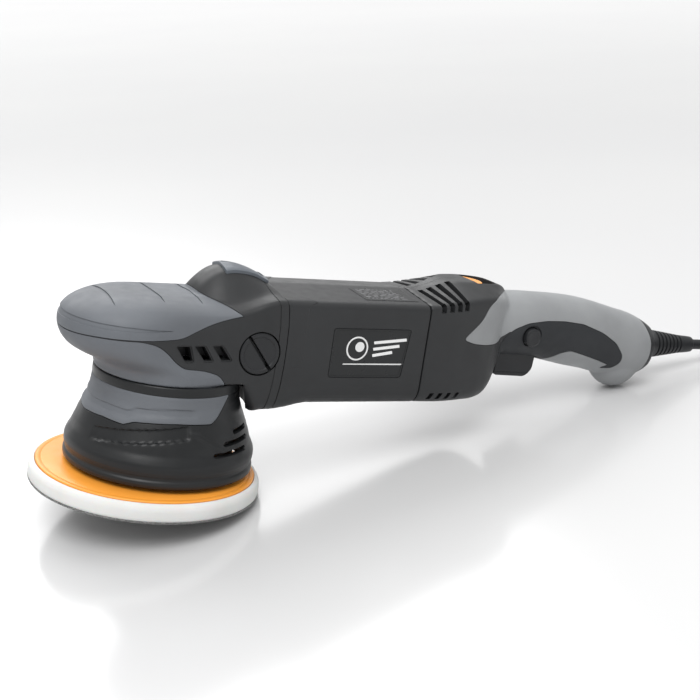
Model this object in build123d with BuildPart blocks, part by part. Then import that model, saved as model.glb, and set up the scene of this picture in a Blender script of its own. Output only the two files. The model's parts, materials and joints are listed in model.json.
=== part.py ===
"""Dual action polisher: long-throw random orbital machine with a bow handle.

Every piece is drawn in the tool's own frame: the spindle is the Z axis, the pad's face is
z = 0 and +X points to the handle. The finished pieces are then leaned back together, because
the machine rests on the pad's rear edge and on the knob under its handle.
"""
from build123d import *
from math import asin, atan2, cos, degrees, hypot, pi, radians, sin, tan
import os

os.makedirs("parts", exist_ok=True)

# ------------------------------------------------------------------ driving dimensions
pad_radius = 75.0  # 6 inch backing plate
orbit_offset = 7.5  # half of the 15 mm orbit
axis_height = 99.0  # motor axis above the pad's face
half_width = 38.5  # barrel
barrel_bottom = 61.0
crease_height = 133.5
crown_height = 139.5
gear_case_end = 63.0
motor_end = 169.5
skin = 3.0  # rubber overmould
wall = 3.0
fit = 0.05  # radial clearance of internal seats
knob = (368.0, 89.3)
knob_radius = 24.0
boot_end = 446.0
boot_tip_radius = 6.5
boot_height = 100.5
crown_teeth = 35
pinion_teeth = 9
mesh_radius = 29.0
cord_diameter = 8.0

# ------------------------------------------------------------------ resting pose
rear_edge = pad_radius - orbit_offset
lean = degrees(
    atan2(knob[1], knob[0] - rear_edge) - asin(knob_radius / hypot(knob[0] - rear_edge, knob[1]))
)


def leaned_x(x, z):
    """Distance along the floor of a tool point, once the tool is laid back."""
    return rear_edge + (x - rear_edge) * cos(radians(lean)) + z * sin(radians(lean))


def leaned_z(x, z):
    """Height above the floor of a tool point, once the tool is laid back."""
    return z * cos(radians(lean)) - (x - rear_edge) * sin(radians(lean))


front_x = leaned_x(-pad_radius - orbit_offset, 0)
back_x = leaned_x(boot_end, boot_height + boot_tip_radius)
centre_x = (front_x + back_x) / 2
leaned_back = Location((rear_edge, 0, 0), (0, lean, 0)) * Location((-rear_edge, 0, 0))
resting = Location((-centre_x, 0, 0)) * leaned_back
on_floor = Location((-centre_x, 0, 0))


def write(piece, label, place=resting):
    """Put a finished piece where it stands, label it and export it."""
    placed = place * piece.part
    placed.label = label
    export_step(placed, f"parts/{label}.step")


# ------------------------------------------------------------------ axes and outlines
plate_axis = Axis((-orbit_offset, 0, 0), (0, 0, 1))
motor_axis = Axis((0, 0, axis_height), (1, 0, 0))


def upright_profile(points, centre_x=0.0, azimuth=0.0):
    """Face from (radius, height) points, to be turned about an upright axis."""
    a = radians(azimuth)
    plane = Plane((centre_x, 0, 0), x_dir=(cos(a), sin(a), 0), z_dir=(sin(a), -cos(a), 0))
    with BuildSketch(plane) as profile:
        with BuildLine():
            Polyline(*points, close=True)
        make_face()
    return profile.sketch


def ring(inner, outer, low, high):
    """Corners of a plain ring's section."""
    return [(inner, low), (outer, low), (outer, high), (inner, high)]


def motor_profile(points):
    """Face from (distance along the tool, radius) points, to be turned about the motor axis."""
    with BuildSketch(Plane.XZ) as profile:
        with BuildLine():
            Polyline(*[(x, axis_height + r) for x, r in points], close=True)
        make_face()
    return profile.sketch


def sleeve(front, back, inner, outer):
    """Corners of a plain sleeve's section about the motor axis."""
    return [(front, inner), (back, inner), (back, outer), (front, outer)]


def side_profile(points):
    """Face from (x, z) points in the tool's middle plane."""
    with BuildSketch(Plane.XZ) as profile:
        with BuildLine():
            Polyline(*points, close=True)
        make_face()
    return profile.sketch


def barrel_section(x, half, bottom, crease, crown, corner=14.0):
    """Barrel cross-section: flat bottom with round corners, upright sides and a ridged top."""
    with BuildSketch(Plane.YZ.offset(x)) as section:
        with BuildLine():
            Polyline(
                (-half, bottom), (half, bottom), (half, crease),
                (0, crown), (-half, crease), close=True,
            )
        make_face()
        fillet(section.vertices().group_by(Axis.Y)[0], corner)
        fillet(section.vertices().group_by(Axis.Y)[-2], 4)
    return section.sketch


def head_section(height, nose_centre, radius, inset=0.0):
    """Plan of the head: a round nose whose sides run back to the gear case."""
    r = radius - inset
    rear_half = min(39.0, radius) - inset
    with BuildSketch(Plane.XY.offset(height)) as section:
        with BuildLine():
            ThreePointArc((nose_centre, r), (nose_centre - r, 0), (nose_centre, -r))
            Polyline((nose_centre, -r), (30, -rear_half), (30, rear_half), (nose_centre, r))
        make_face()
    return section.sketch


def oval_section(x, centre, half_height, half_breadth):
    """Handle cross-section."""
    with BuildSketch(Plane(origin=(x, 0, centre), x_dir=(0, 1, 0), z_dir=(1, 0, 0))) as section:
        Ellipse(half_breadth, half_height)
    return section.sketch


# Head: height, centre of the round nose, its radius.
head_shape = [
    (78, -1, 46.5), (84, -4, 45.8), (88, -14, 45.2), (92, -21, 45), (97, -25.5, 45), (106, -29, 45),
    (115, -28.5, 44.6), (120, -27, 42.5), (125, -25, 37), (129, -22, 28), (131, -20, 18),
]
# Rear housing: distance along the tool, half width, bottom, crease, crown.
rear_shape = [
    (motor_end, 38.5, 61, 133.5, 139.5), (186, 38.2, 61, 135, 143.5), (204, 37, 61.5, 138, 148),
    (222, 34, 62.5, 140, 149.5), (236, 29, 64.5, 139, 147.5), (247, 23, 70, 134, 142),
]
# Handle: distance along the tool, centre height, half height, half breadth.
handle_shape = [
    (240, 114, 22, 22), (258, 114.5, 23.8, 22.5), (280, 114, 24.2, 22), (300, 113, 24.6, 21.6),
    (320, 111.3, 25, 21.6), (336, 108.6, 25, 22), (348, 105, 26, 22.4), (360, 101.5, 26.5, 22.6),
    (374, 99.5, 25.5, 22.4), (385, 99, 22, 20.5), (392, 99, 17.5, 17),
]

# ------------------------------------------------------------------ pad and backing plate
with BuildPart() as hook_face:
    revolve(upright_profile(ring(0, pad_radius, 0, 1.5), -orbit_offset), plate_axis)
write(hook_face, "hook_face")

with BuildPart() as foam_pad:
    foam_outline = [
        (0, 1.5), (pad_radius, 1.5), (pad_radius, 9), (74, 11.5), (72, 12.6), (71.3, 12.6),
        (70.5, 9), (0, 9),
    ]
    revolve(upright_profile(foam_outline, -orbit_offset), plate_axis)
write(foam_pad, "foam_pad")

with BuildPart() as backing_plate:
    plate_outline = [(0, 9), (70.5, 9), (71.3, 12.6), (70, 13.4), (24, 14), (20, 17), (0, 17)]
    revolve(upright_profile(plate_outline, -orbit_offset), plate_axis)
    with Locations((-orbit_offset, 0, 17)):
        Hole(4 + fit, depth=6)
write(backing_plate, "backing_plate")

with BuildPart() as plate_stud:
    revolve(upright_profile(ring(0, 4, 11, 27), -orbit_offset), plate_axis)
    chamfer(plate_stud.edges().group_by(Axis.Z)[-1], 0.8)
write(plate_stud, "plate_stud")

with BuildPart() as plate_spindle:
    spindle_outline = [
        (0, 17), (14, 17), (14, 21), (9, 21), (9, 24), (7.5, 24), (7.5, 49), (0, 49),
    ]
    revolve(upright_profile(spindle_outline, -orbit_offset), plate_axis)
    with Locations((-orbit_offset, 0, 17)):
        Hole(4 + fit, depth=11)
    with Locations((-orbit_offset, 14, 19), (-orbit_offset, -14, 19)):
        Box(30, 6, 4, mode=Mode.SUBTRACT)
write(plate_spindle, "plate_spindle")


def bearing_races(centre_x, low, high, bore, outer):
    """Faces of a ball bearing's inner and outer ring, with a shield on the outer one."""
    third = (outer - bore) / 3
    outer_ring = [
        (outer - third, low + 1.2), (bore + third + 0.3, low + 1.2), (bore + third + 0.3, low + 0.4),
        (outer, low), (outer, high), (bore + third + 0.3, high - 0.4),
        (bore + third + 0.3, high - 1.2), (outer - third, high - 1.2),
    ]
    inner_ring = ring(bore, bore + third, low, high)
    return upright_profile(inner_ring, centre_x), upright_profile(outer_ring, centre_x)


with BuildPart() as plate_bearing_inner_rings:
    for low in (26.0, 38.0):
        inner_face, outer_face = bearing_races(-orbit_offset, low, low + 11, 7.5 + fit, 17.5)
        revolve(inner_face, plate_axis)
write(plate_bearing_inner_rings, "plate_bearing_inner_rings")

with BuildPart() as plate_bearing_outer_rings:
    for low in (26.0, 38.0):
        inner_face, outer_face = bearing_races(-orbit_offset, low, low + 11, 7.5 + fit, 17.5)
        revolve(outer_face, plate_axis)
write(plate_bearing_outer_rings, "plate_bearing_outer_rings")

# ------------------------------------------------------------------ spindle and counterweight
with BuildPart() as spindle:
    hub_outline = [(17.5 + fit, 25), (22, 25), (22, 53), (0, 53), (0, 50), (17.5 + fit, 50)]
    revolve(upright_profile(hub_outline, -orbit_offset), plate_axis)
    shaft_outline = [
        (0, 52), (12, 52), (12, 59), (10, 59), (10, 79), (8, 79), (8, 105), (6, 105), (6, 115), (0, 115),
    ]
    revolve(upright_profile(shaft_outline), Axis.Z)
write(spindle, "spindle")

with BuildPart() as counterweight:
    with BuildSketch(Plane.XY.offset(26)):
        Circle(48)
        with Locations((-34, 0)):
            Rectangle(80, 100, mode=Mode.SUBTRACT)
        with Locations((-orbit_offset, 0)):
            Circle(22 + fit, mode=Mode.SUBTRACT)
    extrude(amount=17)
    with Locations((30, 22, 43), (30, -22, 43)):
        CounterSinkHole(2.6, 4.6)
write(counterweight, "counterweight")

crown_tip = axis_height - mesh_radius * pinion_teeth / crown_teeth - 1.0
pinion_tip = axis_height - crown_tip - 0.15

with BuildPart() as crown_gear:
    crown_outline = [
        (8 + fit, 80), (37, 80), (37, crown_tip - 2), (22, crown_tip - 2), (22, 84), (14, 84),
        (14, 89), (8 + fit, 89),
    ]
    revolve(upright_profile(crown_outline), Axis.Z)
    with BuildSketch(Plane.XY.offset(crown_tip - 2)):
        with PolarLocations(29.5, crown_teeth, start_angle=180 / crown_teeth):
            Rectangle(14.5, 2.4)
    extrude(amount=2)
write(crown_gear, "crown_gear")

with BuildPart() as spindle_bearing_inner_rings:
    for low, bore, outer in ((60.0, 10.0, 21.0), (106.0, 6.0, 14.0)):
        inner_face, outer_face = bearing_races(0, low, low + (12 if low < 100 else 8), bore + fit, outer)
        revolve(inner_face, Axis.Z)
write(spindle_bearing_inner_rings, "spindle_bearing_inner_rings")

with BuildPart() as spindle_bearing_outer_rings:
    for low, bore, outer in ((60.0, 10.0, 21.0), (106.0, 6.0, 14.0)):
        inner_face, outer_face = bearing_races(0, low, low + (12 if low < 100 else 8), bore + fit, outer)
        revolve(outer_face, Axis.Z)
write(spindle_bearing_outer_rings, "spindle_bearing_outer_rings")

# ------------------------------------------------------------------ armature
with BuildPart() as motor_shaft:
    shaft_outline = [
        (20, 0), (20, 4), (38, 4), (38, 6), (56, 6), (56, 5), (172, 5), (172, 4), (182, 4), (182, 0),
    ]
    revolve(motor_profile(shaft_outline), motor_axis)
write(motor_shaft, "motor_shaft")

with BuildPart() as pinion:
    revolve(motor_profile(sleeve(22, 37, 4 + fit, pinion_tip - 2)), motor_axis)
    with BuildSketch(Plane.YZ.offset(22)):
        with Locations((0, axis_height)):
            with PolarLocations(pinion_tip - 1.6, pinion_teeth):
                Rectangle(3, 2.2)
    extrude(amount=14.5)
write(pinion, "pinion")

with BuildPart() as armature_core:
    revolve(motor_profile(sleeve(86, 134, 5 + fit, 18)), motor_axis)
    with BuildSketch(Plane.YZ.offset(86)):
        with Locations((0, axis_height)):
            with PolarLocations(15.5, 12):
                Rectangle(6, 2)
    extrude(amount=48, mode=Mode.SUBTRACT)
write(armature_core, "armature_core")

with BuildPart() as armature_windings:
    for front in (78.0, 134.0):
        coil = [(front, 8), (front, 14), (front + 2, 17), (front + 8, 17), (front + 8, 8)]
        if front > 100:
            coil = [(front, 8), (front, 17), (front + 6, 17), (front + 8, 14), (front + 8, 8)]
        revolve(motor_profile(coil), motor_axis)
write(armature_windings, "armature_windings")

with BuildPart() as commutator:
    revolve(motor_profile(sleeve(150, 166, 5 + fit, 12)), motor_axis)
    with BuildSketch(Plane.YZ.offset(150)):
        with Locations((0, axis_height)):
            with PolarLocations(11.5, 24):
                Rectangle(1.6, 0.5)
    extrude(amount=14, mode=Mode.SUBTRACT)
write(commutator, "commutator")

with BuildPart() as cooling_fan:
    fan_outline = [(59, 5 + fit), (73, 5 + fit), (73, 9), (61.5, 12), (61.5, 31), (59, 31)]
    revolve(motor_profile(fan_outline), motor_axis)
    with BuildSketch(Plane.YZ.offset(61)):
        with Locations((0, axis_height)):
            with PolarLocations(20.5, 11):
                Rectangle(21, 1.6)
    extrude(amount=10)
write(cooling_fan, "cooling_fan")


def motor_bearing(front, back, bore, outer):
    """Faces of a motor bearing's two rings."""
    third = (outer - bore) / 3
    inner_ring = sleeve(front, back, bore, bore + third)
    outer_ring = [
        (front, bore + third + 0.3), (front, outer), (back, outer), (back, bore + third + 0.3),
        (back - 1, bore + third + 0.3), (back - 1, outer - third), (front + 1, outer - third),
        (front + 1, bore + third + 0.3),
    ]
    return motor_profile(inner_ring), motor_profile(outer_ring)


motor_bearings = ((40.0, 50.0, 6.0, 16.0), (173.0, 180.0, 4.0, 11.0))
with BuildPart() as motor_bearing_inner_rings:
    for front, back, bore, outer in motor_bearings:
        inner_face, outer_face = motor_bearing(front, back, bore + fit, outer)
        revolve(inner_face, motor_axis)
write(motor_bearing_inner_rings, "motor_bearing_inner_rings")

with BuildPart() as motor_bearing_outer_rings:
    for front, back, bore, outer in motor_bearings:
        inner_face, outer_face = motor_bearing(front, back, bore + fit, outer)
        revolve(outer_face, motor_axis)
write(motor_bearing_outer_rings, "motor_bearing_outer_rings")

# ------------------------------------------------------------------ gear case and its grips
grip_region = [
    (-90, 106), (-12, 106.4), (-2, 112), (10, 117), (28, 122), (22, 128), (8, 135), (-90, 135),
]
neck_region = [(-90, 78), (16, 78), (6, 87), (-8, 89), (-20, 100), (-34, 105.6), (-90, 105.6)]

with BuildPart() as head_outer:
    loft([head_section(*shape) for shape in head_shape], ruled=True)
with BuildPart() as head_core:
    loft([head_section(*shape, inset=skin) for shape in head_shape[:-1]], ruled=True)

with BuildPart() as head_grip:
    add(head_outer.part)
    add(head_core.part, mode=Mode.SUBTRACT)
    extrude(side_profile(grip_region), amount=60, both=True, mode=Mode.INTERSECT)
write(head_grip, "head_grip")

with BuildPart() as neck_grip:
    add(head_outer.part)
    add(head_core.part, mode=Mode.SUBTRACT)
    extrude(side_profile(neck_region), amount=60, both=True, mode=Mode.INTERSECT)
write(neck_grip, "neck_grip")

with BuildPart() as gear_housing:
    add(head_outer.part)
    extrude(barrel_section(46, 39.5, 57, crease_height, crown_height, 16), amount=gear_case_end - 46)
    extrude(barrel_section(20, 38.5, 78, 128, 134, 4), amount=27)
    with BuildSketch(Plane.XY.offset(66)):
        Circle(44)
    extrude(amount=12.5)
    hump = [
        (6, 128), (10, 135), (24, 147), (28, 149), (46, 146), (gear_case_end, crown_height),
        (gear_case_end, 120), (6, 120),
    ]
    extrude(side_profile(hump), amount=23, both=True)
    add(head_grip.part, mode=Mode.SUBTRACT)
    add(neck_grip.part, mode=Mode.SUBTRACT)
    # notch around the shroud's collar, with the bearing plate's seat under the neck
    revolve(upright_profile(ring(0, 53, 50, 66)), Axis.Z, mode=Mode.SUBTRACT)
    revolve(upright_profile(ring(44.1, 53, 60, 78)), Axis.Z, mode=Mode.SUBTRACT)
    # gear chamber, spindle tunnel, hollow nose, pinion pocket and fan chamber
    revolve(upright_profile(ring(0, 38.6, 66, 95)), Axis.Z, mode=Mode.SUBTRACT)
    revolve(upright_profile(ring(0, 14 + fit, 94, 115.5)), Axis.Z, mode=Mode.SUBTRACT)
    revolve(upright_profile(ring(0, 28, 94, 122), -40), Axis((-40, 0, 0), (0, 0, 1)), mode=Mode.SUBTRACT)
    revolve(motor_profile(sleeve(0, 39, 0, 14)), motor_axis, mode=Mode.SUBTRACT)
    revolve(motor_profile(sleeve(38, 52, 0, 16 + fit)), motor_axis, mode=Mode.SUBTRACT)
    revolve(motor_profile(sleeve(52, gear_case_end, 0, 33)), motor_axis, mode=Mode.SUBTRACT)
    for side in (-1, 1):
        with Locations(Location((45.2, side * 42, axis_height), (90, 0, 0))):
            Cylinder(14, 16, mode=Mode.SUBTRACT)
            Cylinder(7 + fit, 36, mode=Mode.SUBTRACT)
        # cooling outlets through the side wall
        for step in range(3):
            with Locations((-6 + 12.6 * step, side * 44, 98.4)):
                Box(9, 8, 9, mode=Mode.SUBTRACT)
write(gear_housing, "gear_housing")

for side, label in ((-1, "side_plug_left"), (1, "side_plug_right")):
    with BuildPart() as side_plug:
        with BuildSketch(Plane(origin=(45.2, side * 24.5, axis_height), z_dir=(0, side, 0))):
            Circle(7)
        extrude(amount=10)
        with BuildSketch(Plane(origin=(45.2, side * 34.2, axis_height), z_dir=(0, side, 0))):
            Circle(13.7)
        extrude(amount=5.2)
        with Locations(Location((45.2, side * 39.4, axis_height), (0, -52, 0))):
            Box(3, 4, 25, mode=Mode.SUBTRACT)
    write(side_plug, label)

with BuildPart() as top_badge:
    badge_outline = [(28, 149.05), (46, 146.05), (61, 140.3), (62, 141.8), (46.4, 148.2), (29, 151.2)]
    extrude(side_profile(badge_outline), amount=12, both=True)
write(top_badge, "top_badge")

with BuildPart() as bearing_plate:
    plate_section = [
        (18.5, 58), (43, 58), (43, 66), (38, 66), (38, 64), (24, 64), (24, 72.5),
        (21 + fit, 72.5), (21 + fit, 60), (18.5, 60),
    ]
    revolve(upright_profile(plate_section), Axis.Z)
    with Locations((0, 0, 58)):
        with PolarLocations(40.5, 4, start_angle=45):
            Hole(1.6 + fit, depth=8)
write(bearing_plate, "bearing_plate")

with BuildPart() as bearing_plate_screws:
    with PolarLocations(40.5, 4, start_angle=45):
        with Locations((0, 0, 56.8)):
            Cylinder(2.4, 1.2, align=(Align.CENTER, Align.CENTER, Align.MIN))
            Cylinder(1.6, 9.2, align=(Align.CENTER, Align.CENTER, Align.MIN))
write(bearing_plate_screws, "bearing_plate_screws")

# ------------------------------------------------------------------ shroud
shroud_outline = [
    (58.4, 16.7), (61.6, 16.7), (61.6, 21), (60.4, 22.5), (60.4, 24.5), (61.6, 26), (61.6, 31),
    (58.4, 37), (56.8, 42), (54.4, 48), (50.6, 57), (48.2, 64), (47.4, 72), (47.8, 72), (47.8, 77.8),
    (44.2, 77.8), (44.2, 65), (47, 57), (51, 47), (55, 36.5), (58.4, 30),
]
inlay_section = [
    (50.5, 54), (52.6, 54), (50.6, 58.5), (48.9, 64), (48, 71.8), (46.4, 71.8), (47, 64), (48.8, 58),
]
inlay_start, inlay_arc = 62, 236

with BuildPart() as shroud_inlay:
    revolve(upright_profile(inlay_section, azimuth=inlay_start), Axis.Z, inlay_arc)
write(shroud_inlay, "shroud_inlay")

with BuildPart() as shroud:
    revolve(upright_profile(shroud_outline), Axis.Z)
    add(shroud_inlay.part, mode=Mode.SUBTRACT)
    for height, first, last in ((37.5, 42, 76), (43.2, 37, 68), (48.9, 33, 54)):
        for start in (first, -last):
            slot = ring(45, 66, height - 1.4, height + 1.4)
            revolve(upright_profile(slot, azimuth=start), Axis.Z, last - first, mode=Mode.SUBTRACT)
write(shroud, "shroud")

# ------------------------------------------------------------------ motor housing and stator
with BuildPart() as motor_housing:
    barrel_face = barrel_section(gear_case_end, half_width, barrel_bottom, crease_height, crown_height)
    extrude(barrel_face, amount=motor_end - gear_case_end)
    hollow = barrel_section(
        gear_case_end, half_width - wall, barrel_bottom + wall, crease_height - wall, crown_height - wall, 11
    )
    extrude(hollow, amount=motor_end - gear_case_end, mode=Mode.SUBTRACT)
    # saddles that hold the stator
    for side in (-1, 1):
        with Locations((109, side * 20, 68), (109, side * 20, 129)):
            Box(44, 3, 12)
        with Locations((109, side * 34.5, axis_height)):
            Box(44, 4, 3)
    revolve(motor_profile(sleeve(86, 134, 0, 32.5 + fit)), motor_axis, mode=Mode.SUBTRACT)
    # shallow seats for the side labels and the rating label
    for side in (-1, 1):
        with Locations((126.3, side * half_width, 99.8)):
            Box(58.6, 1.2, 32.8, mode=Mode.SUBTRACT)
write(motor_housing, "motor_housing")

for side, label in ((-1, "side_label_left"), (1, "side_label_right")):
    with BuildPart() as side_label:
        with Locations((126.3, side * (half_width - 0.4), 99.8)):
            Box(58.2, 0.4, 32.4)
    write(side_label, label)

facet_slope = degrees(atan2(crown_height - crease_height, half_width))
with BuildPart() as rating_label:
    facet = Plane(
        origin=(142, -17, crown_height - 17 * tan(radians(facet_slope))), x_dir=(1, 0, 0),
        z_dir=(0, -sin(radians(facet_slope)), cos(radians(facet_slope))),
    )
    with BuildSketch(facet.offset(0.1)):
        RectangleRounded(42, 25, 1.5)
    extrude(amount=0.25)
write(rating_label, "rating_label")

with BuildPart() as stator_core:
    revolve(motor_profile(sleeve(88, 132, 18.7, 32.5)), motor_axis)
    for side in (-1, 1):
        with Locations((110, side * 24, axis_height)):
            Box(50, 11, 12, mode=Mode.SUBTRACT)
write(stator_core, "stator_core")

with BuildPart() as field_coils:
    for front in (77.0, 132.0):
        revolve(motor_profile(sleeve(front, front + 11, 21, 30.5)), motor_axis)
        with Locations((front + 5.5, 30, axis_height), (front + 5.5, -30, axis_height)):
            Box(20, 24, 14, mode=Mode.SUBTRACT)
write(field_coils, "field_coils")

with BuildPart() as brush_carrier:
    carrier = barrel_section(170, 34.8, 65, 129.5, 135, 10)
    extrude(carrier, amount=3)
    revolve(motor_profile(sleeve(170, 182, 8, 15)), motor_axis)
    revolve(motor_profile(sleeve(169, 173, 0, 9)), motor_axis, mode=Mode.SUBTRACT)
    revolve(motor_profile(sleeve(173, 180, 0, 11 + fit)), motor_axis, mode=Mode.SUBTRACT)
    revolve(motor_profile(sleeve(179, 183, 0, 8.5)), motor_axis, mode=Mode.SUBTRACT)
    for side in (-1, 1):
        with Locations((162, side * 21.5, axis_height)):
            Box(17, 15, 13)
        with Locations((158, side * 21.5, axis_height)):
            Box(9.2, 16, 7.2, mode=Mode.SUBTRACT)
write(brush_carrier, "brush_carrier")

with BuildPart() as carbon_brushes:
    for side in (-1, 1):
        with Locations((158, side * 19.2, axis_height)):
            Box(9, 14, 7)
write(carbon_brushes, "carbon_brushes")

# ------------------------------------------------------------------ rear covers and handle
dial_centre = (215.0, 0.0)
dial_radius = 16.0
dial_low, dial_high = 139.0, 145.0
button_centre = (270.0, 109.0)
trigger_pivot = (243.5, 93.0)
screw_bosses = [(196, 74, 34), (232, 80, 25), (306, 113, 17), (344, 106, 17)]

with BuildPart() as rear_outer:
    loft([barrel_section(*shape) for shape in rear_shape], ruled=True)
with BuildPart() as rear_inner:
    loft(
        [
            barrel_section(x, half - wall, bottom + wall, crease - wall, crown - wall, 11)
            for x, half, bottom, crease, crown in rear_shape[:-1]
        ],
        ruled=True,
    )
with BuildPart() as handle_outer:
    loft([oval_section(*shape) for shape in handle_shape])
    with Locations((knob[0], 0, knob[1])):
        Sphere(knob_radius)
with BuildPart() as handle_core:
    loft([oval_section(x, z, high - skin, wide - skin) for x, z, high, wide in handle_shape])
    with Locations((knob[0], 0, knob[1])):
        Sphere(knob_radius - skin)
with BuildPart() as handle_inner:
    loft([
        oval_section(x, z, high - skin - wall, wide - skin - wall)
        for x, z, high, wide in handle_shape[:-1]
    ])

insert_region = [
    (249, 66), (249, 108), (258, 116), (275, 120.5), (298, 121.5), (318, 119.5), (336, 113.5),
    (350, 105), (357, 96), (355, 89), (348, 84), (338, 84.5), (347, 87), (324, 95), (309, 98.5),
    (296, 92), (290, 86), (290, 66),
]
with BuildPart() as insert_cut:
    extrude(side_profile(insert_region), amount=40, both=True)

with BuildPart() as handle_insert:
    add(handle_outer.part)
    add(handle_core.part, mode=Mode.SUBTRACT)
    add(insert_cut.part, mode=Mode.INTERSECT)
    split(bisect_by=Plane.YZ.offset(250), keep=Keep.TOP)
    for side in (-1, 1):
        with Locations(Location((button_centre[0], side * 20, button_centre[1]), (90, 0, 0))):
            Cylinder(7.4, 20, mode=Mode.SUBTRACT)
    with Locations((268.5, 0, 86)):
        Box(37, 21.4, 28, mode=Mode.SUBTRACT)
write(handle_insert, "handle_insert")

with BuildPart() as handle_grip:
    add(handle_outer.part)
    add(handle_core.part, mode=Mode.SUBTRACT)
    add(insert_cut.part, mode=Mode.SUBTRACT)
    split(bisect_by=Plane.YZ.offset(250), keep=Keep.TOP)
    split(bisect_by=Plane.YZ.offset(391), keep=Keep.BOTTOM)
write(handle_grip, "handle_grip")

with BuildPart() as cover_shell:
    add(rear_outer.part)
    add(handle_core.part)
    add(rear_inner.part, mode=Mode.SUBTRACT)
    add(handle_inner.part, mode=Mode.SUBTRACT)
    split(bisect_by=Plane.YZ.offset(390), keep=Keep.BOTTOM)
    # dial scoop, with a floor of its own
    with Locations((226, 0, 137.6)):
        Box(38, 40, 4.8)
    with Locations((228, 0, 152)):
        Box(36, 36, 24, mode=Mode.SUBTRACT)
    with Locations((*dial_centre, (dial_low + dial_high) / 2)):
        Cylinder(dial_radius + 0.6, dial_high - dial_low + 1.2, mode=Mode.SUBTRACT)

    # cooling slots over the crease, trigger opening and lock button hole
    for side in (-1, 1):
        for step in range(4):
            with Locations(Location((180 + 6.5 * step, side * 34, 137), (0, 0, side * 16))):
                Box(3.2, 26, 18, mode=Mode.SUBTRACT)
    with Locations((268.5, 0, 86)):
        Box(37, 21.4, 28, mode=Mode.SUBTRACT)
    with Locations((246, 0, 93.5)):
        Box(16, 21.4, 13, mode=Mode.SUBTRACT)
    with Locations(Location((boot_end, 0, boot_height), (0, 90, 0))):
        Cylinder(10 + fit, 140, mode=Mode.SUBTRACT)
    with Locations(Location((button_centre[0], -20, button_centre[1]), (90, 0, 0))):
        Cylinder(7.4, 20, mode=Mode.SUBTRACT)
    # screw bosses across the clamshell
    for x, z, reach in screw_bosses:
        with Locations(Location((x, 0, z), (90, 0, 0))):
            Cylinder(4.5, 2 * reach)
    with Locations(Location((trigger_pivot[0], 0, trigger_pivot[1]), (90, 0, 0))):
        Cylinder(1.5 + fit, 28.2, mode=Mode.SUBTRACT)

with BuildPart() as cover_screws:
    for x, z, reach in screw_bosses:
        with Locations(Location((x, 0, z), (90, 0, 0))):
            Cylinder(1.75, 26)
        with Locations(Location((x, 14.5, z), (90, 0, 0))):
            Cylinder(3.5, 3)
write(cover_screws, "cover_screws")

with BuildPart() as cover_left:
    add(cover_shell.part)
    add(cover_screws.part, mode=Mode.SUBTRACT)
    split(bisect_by=Plane.XZ, keep=Keep.TOP)
write(cover_left, "cover_left")

with BuildPart() as cover_right:
    add(cover_shell.part)
    add(cover_screws.part, mode=Mode.SUBTRACT)
    for x, z, reach in screw_bosses:
        with Locations(Location((x, 28, z), (90, 0, 0))):
            Cylinder(3.8, 24, mode=Mode.SUBTRACT)
    split(bisect_by=Plane.XZ, keep=Keep.BOTTOM)
write(cover_right, "cover_right")

with BuildPart() as speed_dial:
    with BuildSketch(Plane.XY.offset(dial_low)):
        with Locations(dial_centre):
            Circle(dial_radius)
            with PolarLocations(dial_radius, 32):
                Circle(0.6, mode=Mode.SUBTRACT)
    extrude(amount=dial_high - dial_low)
write(speed_dial, "speed_dial")

with BuildPart() as trigger:
    trigger_outline = [
        (252, 77.5), (278, 75.5), (284, 80), (284, 92.5), (258, 97.5), (239.5, 97.5),
        (239.5, 88.5), (252, 88.5),
    ]
    extrude(side_profile(trigger_outline), amount=9.8, both=True)
    with Locations(Location((trigger_pivot[0], 0, trigger_pivot[1]), (90, 0, 0))):
        Cylinder(1.5 + fit, 22, mode=Mode.SUBTRACT)
write(trigger, "trigger")

with BuildPart() as trigger_pin:
    with Locations(Location((trigger_pivot[0], 0, trigger_pivot[1]), (90, 0, 0))):
        Cylinder(1.5, 28)
write(trigger_pin, "trigger_pin")

with BuildPart() as lock_button:
    with BuildSketch(Plane(origin=(button_centre[0], -12.5, button_centre[1]), z_dir=(0, -1, 0))):
        Circle(7)
    extrude(amount=12.5)
    fillet(lock_button.edges().group_by(Axis.Y)[0], 1.5)
write(lock_button, "lock_button")

with BuildPart() as switch_body:
    with Locations((281, 0, 112)):
        Box(34, 20, 18)
write(switch_body, "switch_body")

with BuildPart() as control_board:
    with Locations((217, 0, 118)):
        Box(32, 30, 1.6)
    for x, y, size in ((208, -6, 8), (222, 6, 10), (226, -8, 6)):
        with Locations((x, y, 118.8)):
            Box(size, size, 7, align=(Align.CENTER, Align.CENTER, Align.MIN))
write(control_board, "control_board")

# ------------------------------------------------------------------ boot, cord and plug
with BuildPart() as cord_boot:
    boot_outline = [
        (380, 4), (380, 10), (391.05, 10), (391.05, 17.3), (394, 16.8), (399, 12.6), (404, 11),
    ]
    for rib in range(6):
        front = 405 + 4.2 * rib
        radius = 10.8 - 0.62 * rib
        boot_outline += [
            (front, radius), (front, radius - 1.6), (front + 1.6, radius - 1.7), (front + 1.6, radius - 0.2),
        ]
    boot_outline += [(434, 7.2), (boot_end, boot_tip_radius), (boot_end, 4)]
    with BuildSketch(Plane.XZ) as boot_profile:
        with BuildLine():
            Polyline(*[(x, boot_height + r) for x, r in boot_outline], close=True)
        make_face()
    revolve(boot_profile.sketch, Axis((0, 0, boot_height), (1, 0, 0)))
write(cord_boot, "cord_boot")

with BuildPart() as inner_lead:
    with BuildSketch(Plane(origin=(352, 0, boot_height), x_dir=(0, 1, 0), z_dir=(1, 0, 0))):
        Circle(cord_diameter / 2 - fit)
    extrude(amount=boot_end - 352)
write(inner_lead, "inner_lead")

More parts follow.
